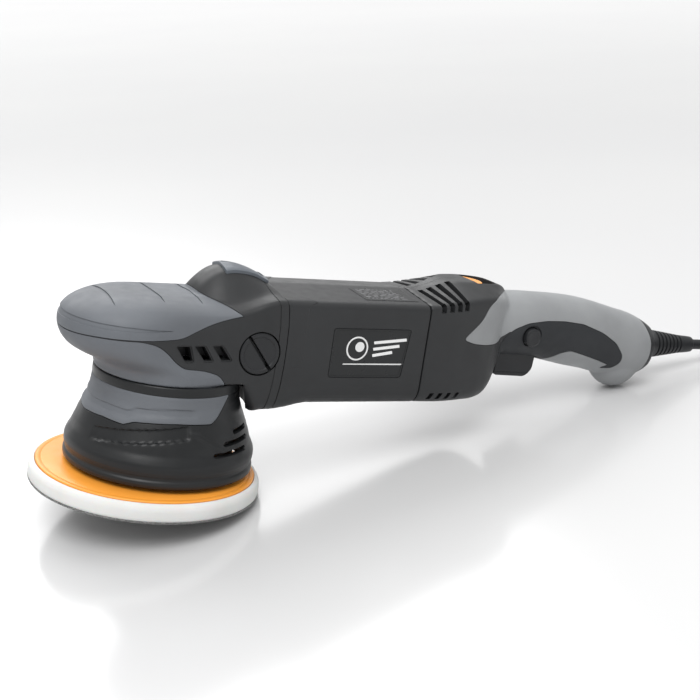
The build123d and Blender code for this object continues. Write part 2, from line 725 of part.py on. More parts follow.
with BuildPart() as cord_clamp:
    with Locations((370, 0, boot_height)):
        Box(9, 28, 12)
    with Locations(Location((370, 0, boot_height), (0, 90, 0))):
        Cylinder(cord_diameter / 2, 20, mode=Mode.SUBTRACT)
write(cord_clamp, "cord_clamp")

# Free cord: from the boot down to the floor, then into the coil's outer turn.
lie = cord_diameter / 2 + 0.1
exit_x, exit_z = leaned_x(boot_end, boot_height), leaned_z(boot_end, boot_height)
coil_centre = (540.0, -65.0)
outer_turn, inner_turn, turn_pitch = 58.6, 34.0, 8.2
join_angle = radians(75)
join = (coil_centre[0] + outer_turn * cos(join_angle), coil_centre[1] + outer_turn * sin(join_angle))
cord_route = [
    (exit_x, 0, exit_z),
    (exit_x + 26 * cos(radians(lean)), 0, exit_z - 26 * sin(radians(lean))),
    (exit_x + 53, -0.8, lie + 1.6),
    (exit_x + 75, -2.8, lie),
    (join[0], join[1], lie),
]


def bend_radii(route):
    """Largest tangent arcs that fit the corners of a route."""
    radii = []
    for before, here, after in zip(route, route[1:], route[2:]):
        incoming, outgoing = Vector(*here) - Vector(*before), Vector(*after) - Vector(*here)
        turn = radians(incoming.get_angle(outgoing))
        radii.append(0.45 * min(incoming.length, outgoing.length) / tan(turn / 2))
    return radii


def run_length(route):
    """Sum of a route's straight runs."""
    return sum((Vector(*b) - Vector(*a)).length for a, b in zip(route, route[1:]))


with BuildPart() as cord_tube:
    with BuildLine() as cord_line:
        FilletPolyline(*cord_route, radius=bend_radii(cord_route))
    with BuildSketch(Plane(origin=cord_line.line @ 0, z_dir=cord_line.line % 0)):
        Circle(cord_diameter / 2)
    sweep(path=cord_line.line)
write(cord_tube, "cord_tube", on_floor)

coil_axis = Axis((coil_centre[0], coil_centre[1], 0), (0, 0, 1))
band = turn_pitch / 2
top_turn, top_shift = 34.0, 22.0
plug_heading = -10.0
along = Vector(cos(radians(plug_heading)), sin(radians(plug_heading)), 0)
top_centre = Vector(*coil_centre, 0) - top_shift * along
with BuildPart() as cord_coil:
    coil_plane = Plane((coil_centre[0], coil_centre[1], 0), x_dir=(1, 0, 0), z_dir=(0, -1, 0))
    with BuildSketch(coil_plane):
        with BuildLine():
            Polyline(
                (inner_turn - band, 2), (inner_turn - band + 2, 0), (outer_turn + band - 2, 0),
                (outer_turn + band, 2), (outer_turn + band, 3 * turn_pitch - 2),
                (outer_turn + band - 2, 3 * turn_pitch), (inner_turn - band + 2, 3 * turn_pitch),
                (inner_turn - band, 3 * turn_pitch - 2), close=True,
            )
        make_face()
    revolve(axis=coil_axis)
    with BuildSketch(Plane(top_centre, x_dir=(-along.Y, along.X, 0), z_dir=along)):
        with Locations((top_turn, 3.5 * turn_pitch)):
            Rectangle(turn_pitch, turn_pitch + 0.4)
    revolve(axis=Axis(tuple(top_centre), (0, 0, 1)), revolution_arc=180)
write(cord_coil, "cord_coil", on_floor)

# The plug lies on the coil, its lead leaving the top turn along the heading.
leave = top_centre + top_turn * Vector(-along.Y, along.X, 0)
plug_half_height, plug_width, plug_length, neck_length = 8.0, 32.0, 36.0, 20.0
plug_axis_height = 3 * turn_pitch + plug_half_height + 0.1
neck_start = leave + 26 * along + Vector(0, 0, plug_axis_height)
tail_route = [
    tuple(leave + Vector(0, 0, 3.5 * turn_pitch)),
    tuple(leave + 9 * along + Vector(0, 0, 3.5 * turn_pitch + 1.0)),
    tuple(leave + 17.5 * along + Vector(0, 0, plug_axis_height - 0.95)),
    tuple(neck_start),
]
with BuildPart() as cord_tail:
    with BuildLine() as tail_line:
        FilletPolyline(*tail_route, radius=bend_radii(tail_route))
    with BuildSketch(Plane(origin=tail_line.line @ 0, z_dir=tail_line.line % 0)):
        Circle(cord_diameter / 2)
    sweep(path=tail_line.line)
write(cord_tail, "cord_tail", on_floor)


def plug_plane(distance):
    """Plane across the plug at a distance from the start of its neck."""
    return Plane(origin=neck_start + distance * along, x_dir=(-along.Y, along.X, 0), z_dir=along)


with BuildPart() as plug_body:
    with BuildSketch(plug_plane(0)):
        Circle(5.5)
    with BuildSketch(plug_plane(neck_length)):
        Circle(8)
    loft()
    with BuildSketch(plug_plane(neck_length)):
        RectangleRounded(plug_width - 12, 2 * plug_half_height - 2, 6.5)
    with BuildSketch(plug_plane(neck_length + 12)):
        RectangleRounded(plug_width, 2 * plug_half_height, 7.5)
    loft()
    with BuildSketch(plug_plane(neck_length + 12)):
        RectangleRounded(plug_width, 2 * plug_half_height, 7.5)
    extrude(amount=plug_length - 12)
    with BuildSketch(plug_plane(neck_length + plug_length)):
        with Locations((-9.5, 0), (9.5, 0)):
            Circle(2.4 + fit)
    extrude(amount=-8, mode=Mode.SUBTRACT)
write(plug_body, "plug_body", on_floor)

with BuildPart() as plug_pins:
    with BuildSketch(plug_plane(neck_length + plug_length - 8)):
        with Locations((-9.5, 0), (9.5, 0)):
            Circle(2.4)
    extrude(amount=27)
write(plug_pins, "plug_pins", on_floor)

print("lean", round(lean, 4), "centre_x", round(centre_x, 4))
for name, route, solid in (("cord_tube", cord_route, cord_tube), ("cord_tail", tail_route, cord_tail)):
    section = pi * cord_diameter**2 / 4
    print(name, "radii", [round(r, 1) for r in bend_radii(route)], "runs", round(run_length(route), 1),
          "volume / section", round(solid.part.volume / section, 1))
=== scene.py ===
"""Looks of the dual action polisher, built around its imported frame."""
import json
import math
import random

import bmesh
import bpy
import numpy as np
from mathutils import Matrix, Vector


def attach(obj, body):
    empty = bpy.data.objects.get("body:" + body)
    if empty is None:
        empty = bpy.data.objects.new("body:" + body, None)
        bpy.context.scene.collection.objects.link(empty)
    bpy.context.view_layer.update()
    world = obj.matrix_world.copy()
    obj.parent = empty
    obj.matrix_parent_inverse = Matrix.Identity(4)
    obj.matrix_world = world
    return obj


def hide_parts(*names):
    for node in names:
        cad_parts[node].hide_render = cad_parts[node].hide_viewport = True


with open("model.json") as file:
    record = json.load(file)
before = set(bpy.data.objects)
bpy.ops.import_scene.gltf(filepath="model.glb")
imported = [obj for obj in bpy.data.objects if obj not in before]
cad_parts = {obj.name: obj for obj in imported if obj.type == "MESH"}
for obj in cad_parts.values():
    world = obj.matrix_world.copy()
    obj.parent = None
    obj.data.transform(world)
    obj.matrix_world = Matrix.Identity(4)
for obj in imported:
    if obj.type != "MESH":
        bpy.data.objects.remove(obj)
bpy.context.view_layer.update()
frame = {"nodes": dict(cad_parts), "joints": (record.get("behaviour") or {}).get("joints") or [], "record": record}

JOINTS = {joint["name"]: joint for joint in frame["joints"]}
LEFT, RIGHT = -1, 1
SIDES = ((LEFT, "left"), (RIGHT, "right"))

# Tool frame: millimetres, spindle along Z, pad face at z = 0, +X towards the handle.
ALONG = Vector(JOINTS["armature_spin"]["axis"])
UP = Vector(JOINTS["spindle_spin"]["axis"])
ROTATION = Matrix((ALONG, (0, 1, 0), UP)).transposed()
MILLIMETRES = Matrix.Scale(0.001, 4)
TOOL = Matrix.Translation(JOINTS["spindle_spin"]["pos_m"]) @ ROTATION.to_4x4() @ MILLIMETRES

AXIS_HEIGHT = 99.0
ORBIT = 7.5  # of the plate's own axis round the spindle
PLUG_X, PLUG_Z = 45.2, AXIS_HEIGHT - 0.3
DIAL_X = 215.0
LEAD_LINE = ((0, 0, 100.5), (1, 0, 0))
BUTTON_LINE = ((270, 0, 109), (0, -1, 0))
SOFT_SKIN, SKIN_GAP = 3.0, 0.15  # depth of the grips, and the gap under them
CORD_DIAMETER = 0.008
MATERIALS = {}


def add_object(name, data):
    """New object that is linked to the scene."""
    made = bpy.data.objects.new(name, data)
    bpy.context.scene.collection.objects.link(made)
    return made


# ---- camera, lights and floor
def add_camera():
    """Camera at the photographed angle: right, up and forward are given in the tool frame."""
    right, up = Vector((0.8726, -0.4669, 0.1436)), Vector((-0.0126, 0.2723, 0.9621))
    forward = Vector((0.4883, 0.8413, -0.2317))
    axes = Matrix([ROTATION @ v for v in (right, up, -forward)]).transposed()
    data = bpy.data.cameras.new("camera")
    data.sensor_width = 36.0
    data.lens = 66.857
    data.clip_end = 30.0
    camera = add_object("camera", data)
    camera.matrix_world = Matrix.Translation(TOOL @ Vector((-307.8, -759.1, 300.5))) @ axes.to_4x4()
    bpy.context.scene.camera = camera


def add_light(name, towards, power, spread):
    """Broad soft light that shines evenly from one direction."""
    data = bpy.data.lights.new(name, "SUN")
    data.energy = power
    data.angle = math.radians(spread)
    light = add_object(name, data)
    light.rotation_euler = Vector(towards).to_track_quat("-Z", "Y").to_euler()


def studio_world():
    """White backdrop that lights the tool brightly from above and dimly from the sides."""
    world = bpy.data.worlds.new("studio")
    world.use_nodes = True
    tree = world.node_tree
    background = tree.nodes["Background"]
    background.inputs["Color"].default_value = (1.0, 1.0, 1.0, 1.0)
    heading = tree.nodes.new("ShaderNodeTexCoord").outputs["Generated"]
    upward = node(tree, "ShaderNodeSeparateXYZ", heading).outputs["Z"]
    dome = span(tree, upward, 0.0, 0.75, 0.28, 0.95)
    horizon = span(tree, upward, 0.08, 0.2, 1.05, 0.0)
    sky = node(tree, "ShaderNodeMath", dome, horizon, operation="MAXIMUM")
    seen = tree.nodes.new("ShaderNodeLightPath").outputs["Is Camera Ray"]
    backdrop = node(tree, "ShaderNodeMix", seen, data_type="FLOAT")
    tree.links.new(sky.outputs[0], backdrop.inputs[2])
    backdrop.inputs[3].default_value = 1.0
    tree.links.new(backdrop.outputs[0], background.inputs["Strength"])
    return world


def add_stage():
    """World, two lights and a wide pale floor."""
    bpy.context.scene.world = studio_world()
    bpy.context.scene.view_settings.view_transform = "Standard"
    add_light("key", (0.5, 0.7, -1.55), 1.5, 38)
    add_light("rim", (-0.2, -1.2, -1.02), 1.5, 50)

    mesh = bpy.data.meshes.new("floor")
    reach = 8.0
    corners = [(-reach, -reach, 0), (reach, -reach, 0), (reach, reach, 0), (-reach, reach, 0)]
    mesh.from_pydata(corners, [], [(0, 1, 2, 3)])
    floor = add_object("floor", mesh)
    make_floor_paint()
    paint(mesh, "studio_floor")


# ---- materials
def node(tree, kind, *sources, **values):
    """New shader node with its settings and constants, and its first inputs linked to sources."""
    made = tree.nodes.new(kind)
    for key, value in values.items():
        if hasattr(made, key):
            setattr(made, key, value)
        else:
            made.inputs[key.replace("_", " ")].default_value = value
    for source, socket in zip(sources, made.inputs):
        tree.links.new(source, socket)
    return made


def new_material(name, roughness, metallic=0.0, specular=0.5):
    """Register a material; its tree, its main shader and the object-space coordinate socket."""
    material = MATERIALS[name] = bpy.data.materials.new(name)
    material.use_nodes = True
    tree = material.node_tree
    shader = tree.nodes["Principled BSDF"]
    shader.inputs["Roughness"].default_value = roughness
    shader.inputs["Metallic"].default_value = metallic
    shader.inputs["Specular IOR Level"].default_value = specular
    place = tree.nodes.new("ShaderNodeTexCoord").outputs["Object"]
    return tree, shader, place


def noise(tree, place, scale, detail=2.0):
    return node(tree, "ShaderNodeTexNoise", place, Scale=scale, Detail=detail).outputs["Fac"]


def cells(tree, place, scale):
    return node(tree, "ShaderNodeTexVoronoi", place, Scale=scale).outputs["Distance"]


def span(tree, value, low, high, to_low, to_high):
    return node(tree, "ShaderNodeMapRange", value, From_Min=low, From_Max=high, To_Min=to_low,
                To_Max=to_high).outputs["Result"]


def tint(tree, shader, factor, *stops):
    """Base colour from a ramp of two (position, colour) stops."""
    ramp = node(tree, "ShaderNodeValToRGB", factor)
    for element, (position, colour) in zip(ramp.color_ramp.elements, stops):
        element.position = position
        element.color = (*colour, 1.0)
    tree.links.new(ramp.outputs["Color"], shader.inputs["Base Color"])


def relief(tree, shader, height, depth, edge=0.0):
    """Bump of a depth in metres, over edges softened by a small radius."""
    bump = node(tree, "ShaderNodeBump", Strength=1.0, Distance=depth)
    tree.links.new(height, bump.inputs["Height"])
    if edge:
        soft = node(tree, "ShaderNodeBevel", samples=4, Radius=edge)
        tree.links.new(soft.outputs["Normal"], bump.inputs["Normal"])
    tree.links.new(bump.outputs["Normal"], shader.inputs["Normal"])


def shade(colour, factor):
    return tuple(min(1.0, channel * factor) for channel in colour)


def moulded(name, colour, roughness, grain=2600.0, depth=0.00002, spread=0.12, edge=0.0004, specular=0.5):
    """Moulded plastic or rubber: fine grain, slow tone change and uneven gloss."""
    tree, shader, place = new_material(name, roughness, specular=specular)
    tint(tree, shader, noise(tree, place, 22.0, 4.0),
         (0.3, shade(colour, 1 - spread)), (0.7, shade(colour, 1 + spread)))
    gloss = noise(tree, place, 130.0, 3.0)
    tree.links.new(span(tree, gloss, 0.3, 0.7, roughness - 0.05, roughness + 0.06),
                   shader.inputs["Roughness"])
    relief(tree, shader, noise(tree, place, grain), depth, edge)


def metal(name, colour, roughness, grain=900.0):
    """Machined or cast metal: fine mottling in its tone, gloss and relief."""
    tree, shader, place = new_material(name, roughness, metallic=1.0)
    lines = noise(tree, place, grain, 3.0)
    tint(tree, shader, lines, (0.3, shade(colour, 0.82)), (0.7, shade(colour, 1.12)))
    tree.links.new(span(tree, lines, 0.3, 0.7, roughness - 0.08, roughness + 0.1),
                   shader.inputs["Roughness"])
    relief(tree, shader, lines, 0.00001, 0.0002)


def striped(name, colour, pitch, direction, roughness):
    """Stacked sheets or wound wire: fine metal lines across one direction."""
    tree, shader, place = new_material(name, roughness, metallic=1.0)
    position = node(tree, "ShaderNodeVectorMath", place, operation="DOT_PRODUCT")
    position.inputs[1].default_value = direction
    phase = node(tree, "ShaderNodeMath", position.outputs["Value"], operation="MULTIPLY")
    phase.inputs[1].default_value = 2 * math.pi / pitch
    wave = node(tree, "ShaderNodeMath", phase.outputs[0], operation="SINE").outputs[0]
    mixed = node(tree, "ShaderNodeMath", noise(tree, place, 300.0, 3.0), operation="MULTIPLY_ADD")
    mixed.inputs[1].default_value = 0.8
    tree.links.new(wave, mixed.inputs[2])
    tint(tree, shader, span(tree, mixed.outputs[0], -1.0, 1.8, 0.0, 1.0),
         (0.1, shade(colour, 0.45)), (0.7, colour))
    relief(tree, shader, wave, pitch * 0.15)


def make_foam():
    tree, shader, place = new_material("white_foam", 0.75, specular=0.25)
    tint(tree, shader, noise(tree, place, 40.0, 3.0), (0.3, (0.72, 0.72, 0.70)), (0.7, (0.78, 0.78, 0.765)))
    shader.inputs["Subsurface Weight"].default_value = 0.15
    shader.inputs["Subsurface Scale"].default_value = 0.002
    relief(tree, shader, cells(tree, place, 1500.0), 0.00006)


def make_hook_fabric():
    tree, shader, place = new_material("hook_fabric", 0.9, specular=0.2)
    loops = cells(tree, place, 1100.0)
    tint(tree, shader, loops, (0.1, (0.32, 0.32, 0.31)), (0.6, (0.10, 0.10, 0.10)))
    shader.inputs["Sheen Weight"].default_value = 0.4
    relief(tree, shader, loops, 0.0003)


def make_inner_plastic():
    tree, shader, place = new_material("inner_plastic", 0.5)
    tint(tree, shader, cells(tree, place, 160.0), (0.2, (0.10, 0.11, 0.10)), (0.7, (0.15, 0.15, 0.14)))
    relief(tree, shader, noise(tree, place, 1500.0), 0.00002, 0.0003)


def make_floor_paint():
    tree, shader, place = new_material("studio_floor", 0.16)
    tint(tree, shader, noise(tree, place, 1.5), (0.3, (0.64, 0.64, 0.645)), (0.7, (0.66, 0.66, 0.66)))


def make_materials():
    """One material for each of the record's slots, and two for the printed marks."""
    rubber = {"grain": 3200.0, "depth": 0.00003}
    moulded("black_plastic", (0.024, 0.025, 0.0265), 0.42, specular=0.36)
    moulded("shroud_plastic", (0.015, 0.016, 0.017), 0.34, specular=0.32)
    moulded("grip_rubber", (0.125, 0.135, 0.150), 0.55, **rubber)
    moulded("handle_rubber", (0.27, 0.278, 0.285), 0.5, **rubber)
    moulded("insert_rubber", (0.026, 0.028, 0.031), 0.55, specular=0.3, **rubber)
    moulded("badge_plastic", (0.11, 0.125, 0.145), 0.4)
    moulded("control_plastic", (0.019, 0.020, 0.022), 0.36, specular=0.35)
    moulded("label_film", (0.012, 0.013, 0.014), 0.3, 1500.0, 0.000005, 0.06, specular=0.4)
    moulded("orange_plastic", (0.93, 0.36, 0.045), 0.36, spread=0.05)
    make_foam()
    make_hook_fabric()
    moulded("cord_rubber", (0.017, 0.018, 0.020), 0.48, 3000.0, 0.00002, specular=0.35)
    metal("bright_steel", (0.62, 0.62, 0.63), 0.28)
    metal("bearing_steel", (0.70, 0.70, 0.71), 0.2, grain=1500.0)
    metal("screw_steel", (0.40, 0.40, 0.41), 0.35)
    metal("gear_steel", (0.46, 0.46, 0.47), 0.33)
    metal("counterweight_metal", (0.34, 0.34, 0.34), 0.5, grain=500.0)
    metal("cast_alloy", (0.66, 0.66, 0.67), 0.45, grain=400.0)
    striped("lamination_steel", (0.36, 0.36, 0.37), 0.0008, ALONG, 0.42)
    striped("winding_copper", (0.72, 0.30, 0.13), 0.0009, UP, 0.35)
    make_inner_plastic()
    moulded("carbon", (0.03, 0.03, 0.03), 0.6, 1200.0, 0.00004)
    metal("pin_metal", (0.72, 0.66, 0.50), 0.25)
    moulded("print_white", (0.80, 0.80, 0.80), 0.45, edge=0.0)
    moulded("print_grey", (0.26, 0.26, 0.27), 0.45, edge=0.0)


# ---- mesh tools (millimetres)
def solid(name, vertices, faces):
    """Closed mesh object with merged corners and outward faces."""
    mesh = bpy.data.meshes.new(name)
    mesh.from_pydata([tuple(v) for v in vertices], [], faces)
    work = bmesh.new()
    work.from_mesh(mesh)
    bmesh.ops.remove_doubles(work, verts=work.verts, dist=0.0005)
    bmesh.ops.recalc_face_normals(work, faces=work.faces)
    work.to_mesh(mesh)
    work.free()
    return add_object(name, mesh)


def bands(rows, columns, wrap_rows=False, wrap_columns=False):
    """Quads of a grid of points, row by row."""
    faces = []
    for row in range(rows if wrap_rows else rows - 1):
        below, above = row * columns, (row + 1) % rows * columns
        for column in range(columns if wrap_columns else columns - 1):
            after = (column + 1) % columns
            faces.append((below + column, below + after, above + after, above + column))
    return faces


def loft(name, sections):
    """Closed solid through outlines that have the same number of points."""
    count = len(sections[0])
    vertices = [point for section in sections for point in section]
    faces = bands(len(sections), count, wrap_columns=True)
    faces += [tuple(range(count)), tuple(range(len(vertices) - count, len(vertices)))]
    return solid(name, vertices, faces)


def across(x, outline):
    """Outline of (y, z) points stood up at a distance along the tool."""
    return [(x, y, z) for y, z in outline]


def around(radius, angle, *height, centre=(0.0, 0.0)):
    """Point at a distance and an angle in radians from a centre."""
    return centre[0] + radius * math.cos(angle), centre[1] + radius * math.sin(angle), *height


def rectangle(left, right, low, high):
    return [(left, low), (right, low), (right, high), (left, high)]


def rounded(points, radius, steps=4):
    """Closed outline whose corners are eased by a radius, or by one radius for each."""
    radii = radius if isinstance(radius, (list, tuple)) else [radius] * len(points)
    outline = []
    for index, corner in enumerate(points):
        here = Vector(corner)
        before, after = Vector(points[index - 1]), Vector(points[(index + 1) % len(points)])
        reach = min(radii[index], 0.45 * (before - here).length, 0.45 * (after - here).length)
        if reach < 0.01:
            outline.append(tuple(here))
            continue
        start = here + reach * (before - here).normalized()
        end = here + reach * (after - here).normalized()
        for step in range(steps + 1):
            t = step / steps
            outline.append(tuple(start * (1 - t) ** 2 + here * (2 * t * (1 - t)) + end * t**2))
    return outline


def grow(points, amount):
    """Closed outline moved outwards by an amount."""
    count = len(points)
    area = sum(points[i - 1][0] * points[i][1] - points[i][0] * points[i - 1][1] for i in range(count))
    turn = 1 if area > 0 else -1
    moved = []
    for index, point in enumerate(points):
        tangent = Vector(points[(index + 1) % count]) - Vector(points[index - 1])
        outward = Vector((tangent.y, -tangent.x)).normalized() * turn
        moved.append(tuple(Vector(point) + amount * outward))
    return moved


def prism(name, outline, low=-60, high=60, plane="XZ"):
    """Outline pushed along the plane's normal, between two distances or right through the tool."""
    place = {"XZ": lambda a, b, c: (a, c, b), "XY": lambda a, b, c: (a, b, c)}[plane]
    return loft(name, [[place(a, b, distance) for a, b in outline] for distance in sorted((low, high))])


def lathe(name, outline, centre=(0.0, 0.0), steps=144):
    """Closed (radius, height) outline turned about an upright axis."""
    vertices = []
    for row in range(steps):
        angle = math.radians(360 * row / steps)
        vertices += [around(radius, angle, height, centre=centre) for radius, height in outline]
    return solid(name, vertices, bands(steps, len(outline), wrap_rows=True, wrap_columns=True))


def turned(name, outline, axis):
    """Closed (distance, radius) outline turned about the tool's X or Y direction through a point."""
    origin, direction = axis
    made = lathe(name, [(radius, distance) for distance, radius in outline], steps=96)
    spin = Vector((0, 0, 1)).rotation_difference(Vector(direction)).to_matrix().to_4x4()
    made.data.transform(Matrix.Translation(origin) @ spin)
    return made


def drill(name, radius, low, high, axis):
    """Plain round rod between two distances along an axis."""
    return turned(name, [(low, 0), (low, radius), (high, radius), (high, 0)], axis)


def modify(piece, kind, **settings):
    modifier = piece.modifiers.new(kind.lower(), kind)
    for key, value in settings.items():
        setattr(modifier, key, value)


def bake(piece):
    """Apply every modifier to the piece's own mesh."""
    graph = bpy.context.evaluated_depsgraph_get()
    mesh = bpy.data.meshes.new_from_object(piece.evaluated_get(graph))
    piece.modifiers.clear()
    piece.data = mesh
    return piece


def discard(*pieces):
    for piece in pieces:
        bpy.data.objects.remove(piece)


def combine(piece, operation, *others, keep=False):
    """Boolean with other solids, which are used up unless they are kept."""
    for other in others:
        modify(piece, "BOOLEAN", operation=operation, solver="MANIFOLD", object=other)
        bake(piece)
    if not keep:
        discard(*others)
    return piece


def cut(piece, *others, keep=False):
    return combine(piece, "DIFFERENCE", *others, keep=keep)


def join(piece, *others):
    return combine(piece, "UNION", *others)


def common(piece, other):
    return combine(piece, "INTERSECT", other)


def copy(piece, name):
    return add_object(name, piece.data.copy())


def remesh(piece, voxel, smoothing):
    """Even out a union into one softly blended skin."""
    modify(piece, "REMESH", mode="VOXEL", voxel_size=voxel)
    modify(piece, "SMOOTH", factor=0.5, iterations=smoothing)
    return bake(piece)


def inset(piece, amount, name, voxel=1.6):
    """Copy of a solid whose skin lies an amount further in."""
    twin = copy(piece, name)
    modify(twin, "DISPLACE", strength=-amount, mid_level=0.0)
    bake(twin)
    return remesh(twin, voxel, 2)


def soft_skin(body, name, region, core):
    """Outer shell of a body above its core, within a side outline."""
    return cut(common(copy(body, name), prism("region", region)), core, keep=True)


def clear_skin(body, region, gap, core):
    """Take away from a body what lies above a core, within a side outline and a gap round it."""
    cut(body, cut(prism("region", grow(region, gap), -61, 61), core, keep=True))


def soften(piece, width, segments, angle):
    """Bevel the edges that are sharper than an angle."""
    modify(piece, "BEVEL", width=width, segments=segments, limit_method="ANGLE",
           angle_limit=math.radians(angle), use_clamp_overlap=True)
    return bake(piece)


def resample(table, count):
    """Smooth rows between the rows of a shape table, evenly spread over its first column."""
    rows = np.array(table, float)
    steps = np.concatenate([[0], np.cumsum(np.linalg.norm(np.diff(rows[:, :2], axis=0), axis=1) + 1e-6)])
    slopes = np.gradient(rows, steps, axis=0)
    made = []
    for s in np.linspace(0, steps[-1], count):
        i = min(int(np.searchsorted(steps, s, side="right")) - 1, len(steps) - 2)
        width = steps[i + 1] - steps[i]
        t = (s - steps[i]) / width
        made.append(
            (2 * t**3 - 3 * t**2 + 1) * rows[i] + (t**3 - 2 * t**2 + t) * width * slopes[i]
            + (3 * t**2 - 2 * t**3) * rows[i + 1] + (t**3 - t**2) * width * slopes[i + 1]
        )
    return made


def paint(mesh, material):
    """Give a whole mesh one material."""
    mesh.materials.clear()
    mesh.materials.append(MATERIALS[material])
    mesh.polygons.foreach_set("material_index", [0] * len(mesh.polygons))


def show(piece, slot, *nodes, body="housing", material=None, place=TOOL, sharp=32):
    """Finish a piece: into the row frame, shaded, painted, riding on its body."""
    mesh = piece.data
    mesh.transform(place)
    paint(mesh, material or slot)
    mesh.polygons.foreach_set("use_smooth", [True] * len(mesh.polygons))
    mesh.set_sharp_from_angle(angle=math.radians(sharp))
    mesh.validate()
    mesh.update()
    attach(piece, body)
    if nodes:
        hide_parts(*nodes)


# ---- pad
def make_pad():
    """Hook face, foam and rim, turned about the plate's own axis."""
    face = [(0, 0), (73.6, 0), (74.6, 0.3), (74.9, 0.9), (74.6, 1.5), (0, 1.5)]
    foam = [
        (0, 1.5), (74.2, 1.5), (74.8, 2.2), (75.0, 3.4), (75.0, 7.6), (74.8, 9.0), (74.2, 10.4),
        (73.4, 11.6), (72.4, 12.2), (71.6, 12.4), (71.5, 12.0), (70.6, 9.2), (70.4, 9), (0, 9),
    ]
    rim = [
        (4.05, 9), (70.2, 9), (70.5, 9.3), (71.2, 12.2), (71.2, 12.9), (70.8, 13.4), (70.0, 13.6),
        (68.4, 13.6), (67.6, 13.3), (66.8, 13.6), (58, 13.7), (40, 13.8), (26, 14.0), (24, 14.4),
        (21.5, 16.4), (20, 17), (4.05, 17),
    ]
    for name, outline, slot, replaced in (
        ("hook_layer", face, "hook_fabric", "hook_face"), ("foam_layer", foam, "white_foam", "foam_pad"),
        ("plate_rim", rim, "orange_plastic", "backing_plate"),
    ):
        show(lathe(name, outline, (-ORBIT, 0), 192), slot, replaced, body="plate")


# ---- shroud
# Radius and height, up the outside and down the inside.
SHROUD_SKIN = [
    (58.6, 16.8), (60.6, 16.7), (61.4, 17.2), (61.6, 18.2), (61.6, 20.2), (61.3, 21), (60.5, 21.8),
    (60.3, 23), (60.6, 24.6), (61.3, 25.4), (61.6, 26.4), (61.6, 29.6), (61.2, 31.4), (60, 34),
    (58.4, 37), (56.8, 42), (54.4, 48), (52.6, 52.4), (50.6, 57), (49.2, 61), (48.2, 64), (47.6, 68),
    (47.4, 71.2), (47.5, 72), (47.8, 72.6), (47.8, 77.2), (47.3, 77.8),
]
SHROUD_LINING = [
    (44.4, 77.8), (44.2, 76), (44.2, 65), (47, 57), (51, 47), (55, 36.5), (58.2, 30), (58.2, 18),
]
# Lower edge of the soft inlay: azimuth from the front of the tool, height.
INLAY_EDGE = [
    (0, 51.4), (24, 52.8), (42, 52.0), (49, 54.6), (60, 55.4), (79, 56.3), (105, 55.8), (111, 59.0),
    (118, 64.5), (124, 70.2),
]


def ease(value, low, high):
    """Smooth step from 0 at the low value to 1 at the high one."""
    t = min(1.0, max(0.0, (value - low) / (high - low)))
    return t * t * (3 - 2 * t)


def skin_radius(height, last=None):
    """Radius of the shroud's cone at a height, from its rows up to the last one that counts."""
    radii, heights = zip(*SHROUD_SKIN[9:last])
    return float(np.interp(height, heights, radii))


def shroud_dent(azimuth, height):
    """Depth of the long slanted panel recessed into each flank of the shroud."""
    away = abs(azimuth - 180)  # from the front of the tool
    along = ease(away, 20, 23) * (1 - ease(away, 86, 89))
    low = 34.5 + 0.14 * away
    band = ease(height, low, low + 0.8) * (1 - ease(height, low + 7.8, low + 8.6))
    ridge = math.exp(-(((away - 103) + (height - 44) * 1.6) / 3.2) ** 2) * ease(height, 36, 38)
    ridge *= 1 - ease(height, 50, 52)
    return 1.6 * along * band - 0.9 * ridge


def make_shroud():
    """Hollow shroud with its recessed panels and slots, and the soft inlay seated in it."""
    fine = [(skin_radius(z, 22), z) for z in np.arange(24.6, 71.2, 0.8)]
    outline = SHROUD_SKIN[:9] + fine + SHROUD_SKIN[22:]
    steps = 360
    vertices = []
    for row in range(steps):
        azimuth = 360 * row / steps
        angle = math.radians(azimuth)
        for radius, height in outline:
            dent = shroud_dent(azimuth, height) if 30 < height < 56 else 0
            vertices.append(around(radius - dent, angle, height))
        vertices += [around(radius, angle, height) for radius, height in SHROUD_LINING]
    count = len(outline) + len(SHROUD_LINING)
    shroud = solid("shroud_shell", vertices, bands(steps, count, wrap_rows=True, wrap_columns=True))
    for height, first, last in ((36.9, 43, 76), (42.7, 37, 67), (48.5, 33, 55)):
        for side in (LEFT, RIGHT):
            cut(shroud, vent_bar(height, first, last, side))
    cut(shroud, lathe("step", rectangle(40, 46.5, 71, 90), steps=96))
    cut(shroud, inlay_block("inlay_seat", 3.0, 0.5))
    show(shroud, "shroud_plastic", "shroud")

    show(inlay_block("inlay_skin", 0.9, 0.0), "grip_rubber", "shroud_inlay")


def vent_bar(height, first, last, side):
    """Curved cutter of one cooling slot, rounded at its ends."""
    sections = []
    half, radius, steps = 1.5, 55.0, 32
    for step in range(steps + 1):
        azimuth = first + (last - first) * step / steps
        run = math.radians(min(azimuth - first, last - azimuth)) * radius
        tall = half * math.sqrt(max(0.04, 1 - max(0.0, 1 - run / half) ** 2))
        angle = math.radians(azimuth) * side
        sections.append([around(r, angle, height + z) for r, z in rectangle(44, 70, -tall, tall)])
    return loft("vent_bar", sections)


